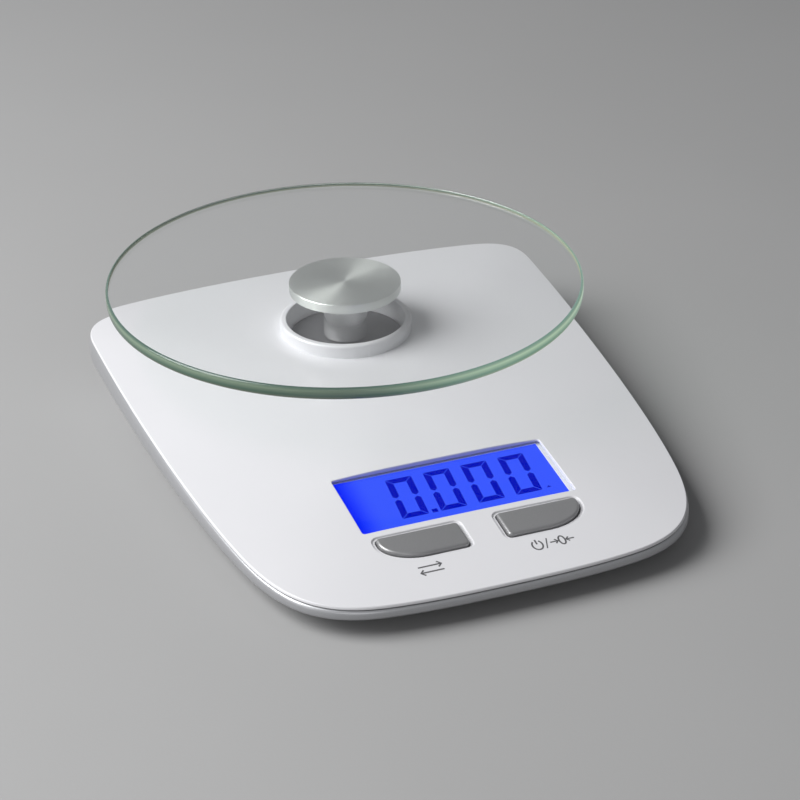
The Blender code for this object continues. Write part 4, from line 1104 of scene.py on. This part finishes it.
def make_shell():
    piece = add_mesh("bottom_shell_moulded", shell_body())
    bay = block((BAY_X[0] - BAY_WALL, BAY_X[1] + BAY_WALL), (BAY_Y[0] - BAY_WALL, BAY_Y[1] + BAY_WALL),
                (INNER_FLOOR - 1, BAY_CEILING + BAY_WALL))
    bosses = [cylinder(SHELL_BOSS, INNER_FLOOR - 1, BOSS_SPLIT, centre, 32) for centre in HOUSING_SCREWS]
    pad = block(PAD_X, PAD_Y, (INNER_FLOOR - 1, PAD_TOP))
    carve(piece, "UNION", group([bay, *bosses, pad]))
    cuts = [block(BAY_X, BAY_Y, (UNDERSIDE - 1, BAY_CEILING))]
    cuts += [cylinder(radius + 0.3, UNDERSIDE - 1, FOOT_POCKET_TOP, centre)
             for centre, radius in feet_places().values()]
    cuts += [stepped_hole(*HOUSING_SCREW_HOLE, BOSS_SPLIT + 1, centre) for centre in HOUSING_SCREWS]
    cuts += [stepped_hole(*FIXED_END_HOLE, PAD_TOP + 1, centre) for centre in FIXED_END_SCREWS]
    carve(piece, "DIFFERENCE", group(cuts))
    recess_x, recess_front = (DOOR_X[0] - DOOR_GAP, DOOR_X[1] + DOOR_GAP), DOOR_FRONT - DOOR_GAP
    recess = block(recess_x, (recess_front, DOOR_PIVOT_Y), (UNDERSIDE - 1, INNER_FLOOR - 0.1))
    carve(piece, "DIFFERENCE", recess)
    room_x = (DOOR_X[0] + DOOR_LEDGE, DOOR_X[1] - DOOR_LEDGE)
    room_z = (INNER_FLOOR - 1, INNER_FLOOR + 1)
    rooms = [block(room_x, (BAY_Y[1] + BAY_WALL + 0.2, DOOR_PIVOT_Y), room_z),
             block(room_x, (recess_front, BAY_Y[0] - BAY_WALL - 0.2), room_z)]
    carve(piece, "DIFFERENCE", group(rooms))
    notch = (sum(DOOR_X) / 2, DOOR_FRONT - 2.6)
    carve(piece, "DIFFERENCE", cylinder(FINGER_NOTCH, UNDERSIDE - 1, UNDERSIDE + 1, notch))
    shade_by_area(piece, 40)
    finish_piece(piece, "housing", "silver_shell", ["bottom_shell"])


def make_feet():
    for node, (centre, radius) in feet_places().items():
        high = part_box(node)[1].z / MM
        profile = [(0.0, high), (radius, high), (radius, 0.7), (radius - 0.2, 0.25), (radius - 0.6, 0.0),
                   (radius - 1.4, 0.0), (radius - 1.6, 0.25), (0.0, 0.25)]
        piece = add_mesh(node + "_moulded", turned(profile, centre, 64))
        finish_piece(piece, "housing", "foot_rubber", [node])


def make_screw_heads():
    """The screws that show in the underside, with rounded heads and cross recesses."""
    for node in frame["nodes"]:
        if not node.startswith(("housing_screw", "fixed_end_screw")):
            continue
        low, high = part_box(node)
        centre = ((low + high) / 2 - HUB) / MM
        bottom, top = low.z / MM, high.z / MM
        head = (high.x - low.x) / 2 / MM
        seat = bottom + SCREW_HEAD
        dome = [(head * math.sin(a), bottom + SCREW_DOME * (1 - math.cos(a)))
                for a in np.radians(np.linspace(0, 80, 8))]
        profile = [*dome, (head, bottom + SCREW_DOME), (head, seat), (SCREW_SHANK, seat),
                   (SCREW_SHANK, top - 0.6), (0.0, top)]
        piece = add_mesh(node + "_driven", turned(profile, (centre.x, centre.y), 48))
        reach, slot = head * 0.55, 0.45
        bars = [block((centre.x - a, centre.x + a), (centre.y - b, centre.y + b), (bottom - 1, bottom + 0.9))
                for a, b in ((reach, slot), (slot, reach))]
        for bar in bars:
            carve(piece, "DIFFERENCE", bar)
        finish_piece(piece, "housing", "steel", [node])


def along_x(profile, x_range):
    return loft([[(x, y + DOOR_PIVOT_Y, z + INNER_FLOOR) for y, z in profile] for x in x_range])


def make_door():
    low, high = UNDERSIDE - INNER_FLOOR, DOOR_TOP
    front = DOOR_FRONT - DOOR_PIVOT_Y
    plate = along_x(((front, low), (DOOR_HEEL, low), (DOOR_TOE, high), (front, high)), DOOR_X)
    piece = add_mesh("battery_door_moulded", plate)
    soften(piece, 0.25)
    step = high - 0.4
    tab = ((-3.4, step), (-1.7, step), (-0.5, 0.3), (2.2, 0.3), (2.2, 1.4), (-3.4, 1.4))
    middle = sum(DOOR_X) / 2
    tongue_x = (middle - TONGUE_HALF_WIDTH, middle + TONGUE_HALF_WIDTH)
    tongue = block(tongue_x, (DOOR_FRONT + 0.8, DOOR_FRONT + 2.0), (INNER_FLOOR + step, TONGUE_TOP))
    tabs = [along_x(tab, (x - TAB_HALF_WIDTH, x + TAB_HALF_WIDTH)) for x in CELLS_X]
    carve(piece, "UNION", group([*tabs, tongue]))
    groove_x, groove_z = (middle - 6, middle + 6), (UNDERSIDE - 1, UNDERSIDE + GROOVE_DEPTH)
    grooves = [block(groove_x, (y - GROOVE_DEPTH, y + GROOVE_DEPTH), groove_z)
               for y in np.arange(DOOR_FRONT + 5.0, DOOR_FRONT + 12.0, GROOVE_PITCH)]
    carve(piece, "DIFFERENCE", group(grooves))
    finish_piece(piece, "door", "silver_shell", ["battery_door"])


# ---------------------------------------------------------------- studio

def make_floor():
    mesh = bpy.data.meshes.new("studio_floor")
    corners = ((-1, -1), (1, -1), (1, 1), (-1, 1))
    mesh.from_pydata([(x * FLOOR_REACH, y * FLOOR_REACH, 0) for x, y in corners], [], [(0, 1, 2, 3)])
    floor = bpy.data.objects.new("studio_floor", mesh)
    bpy.context.scene.collection.objects.link(floor)
    mesh.materials.append(studio_floor())


def add_area_light(name, place, size, power):
    data = bpy.data.lights.new(name, "AREA")
    data.shape = "RECTANGLE"
    data.size, data.size_y = size
    data.energy = power
    light = bpy.data.objects.new(name, data)
    light.location = place
    light.rotation_euler = (Vector((0, 0, 0)) - Vector(place)).to_track_quat("-Z", "Y").to_euler()
    bpy.context.scene.collection.objects.link(light)


def make_studio():
    make_floor()
    for light in LIGHTS:
        add_area_light(*light)
    world = bpy.data.worlds.new("studio_world")
    world.use_nodes = True
    backdrop = world.node_tree.nodes["Background"]
    backdrop.inputs["Color"].default_value = (0.86, 0.87, 0.9, 1.0)
    path = add_node(world, "ShaderNodeLightPath")
    strength = between(world, path.outputs["Is Glossy Ray"], SURROUND_LIGHT, SURROUND_REFLECTED)
    world.node_tree.links.new(strength, backdrop.inputs["Strength"])
    bpy.context.scene.world = world
    bpy.context.scene.view_settings.view_transform = "Standard"


def make_camera():
    azimuth, elevation, roll = (math.radians(a) for a in (CAMERA_AZIMUTH, CAMERA_ELEVATION, CAMERA_ROLL))
    across = math.cos(elevation)
    back = Vector((math.sin(azimuth) * across, -math.cos(azimuth) * across, math.sin(elevation)))
    level = Vector((math.cos(azimuth), math.sin(azimuth), 0.0))
    turn = Matrix.Rotation(roll, 3, back)
    right = turn @ level
    up = back.cross(right)
    data = bpy.data.cameras.new("product_camera")
    data.lens = CAMERA_LENS
    camera = bpy.data.objects.new("product_camera", data)
    place = Vector(CAMERA_AIM) + back * CAMERA_DISTANCE
    camera.matrix_world = Matrix.Translation(place) @ Matrix((right, up, back)).transposed().to_4x4()
    bpy.context.scene.collection.objects.link(camera)
    bpy.context.scene.camera = camera


make_camera()
make_studio()
dress_cad_nodes()
make_glass()
make_hub()
make_cover()
make_buttons()
make_digits()
make_display_border()
make_signs()
make_shell()
make_feet()
make_screw_heads()
make_door()
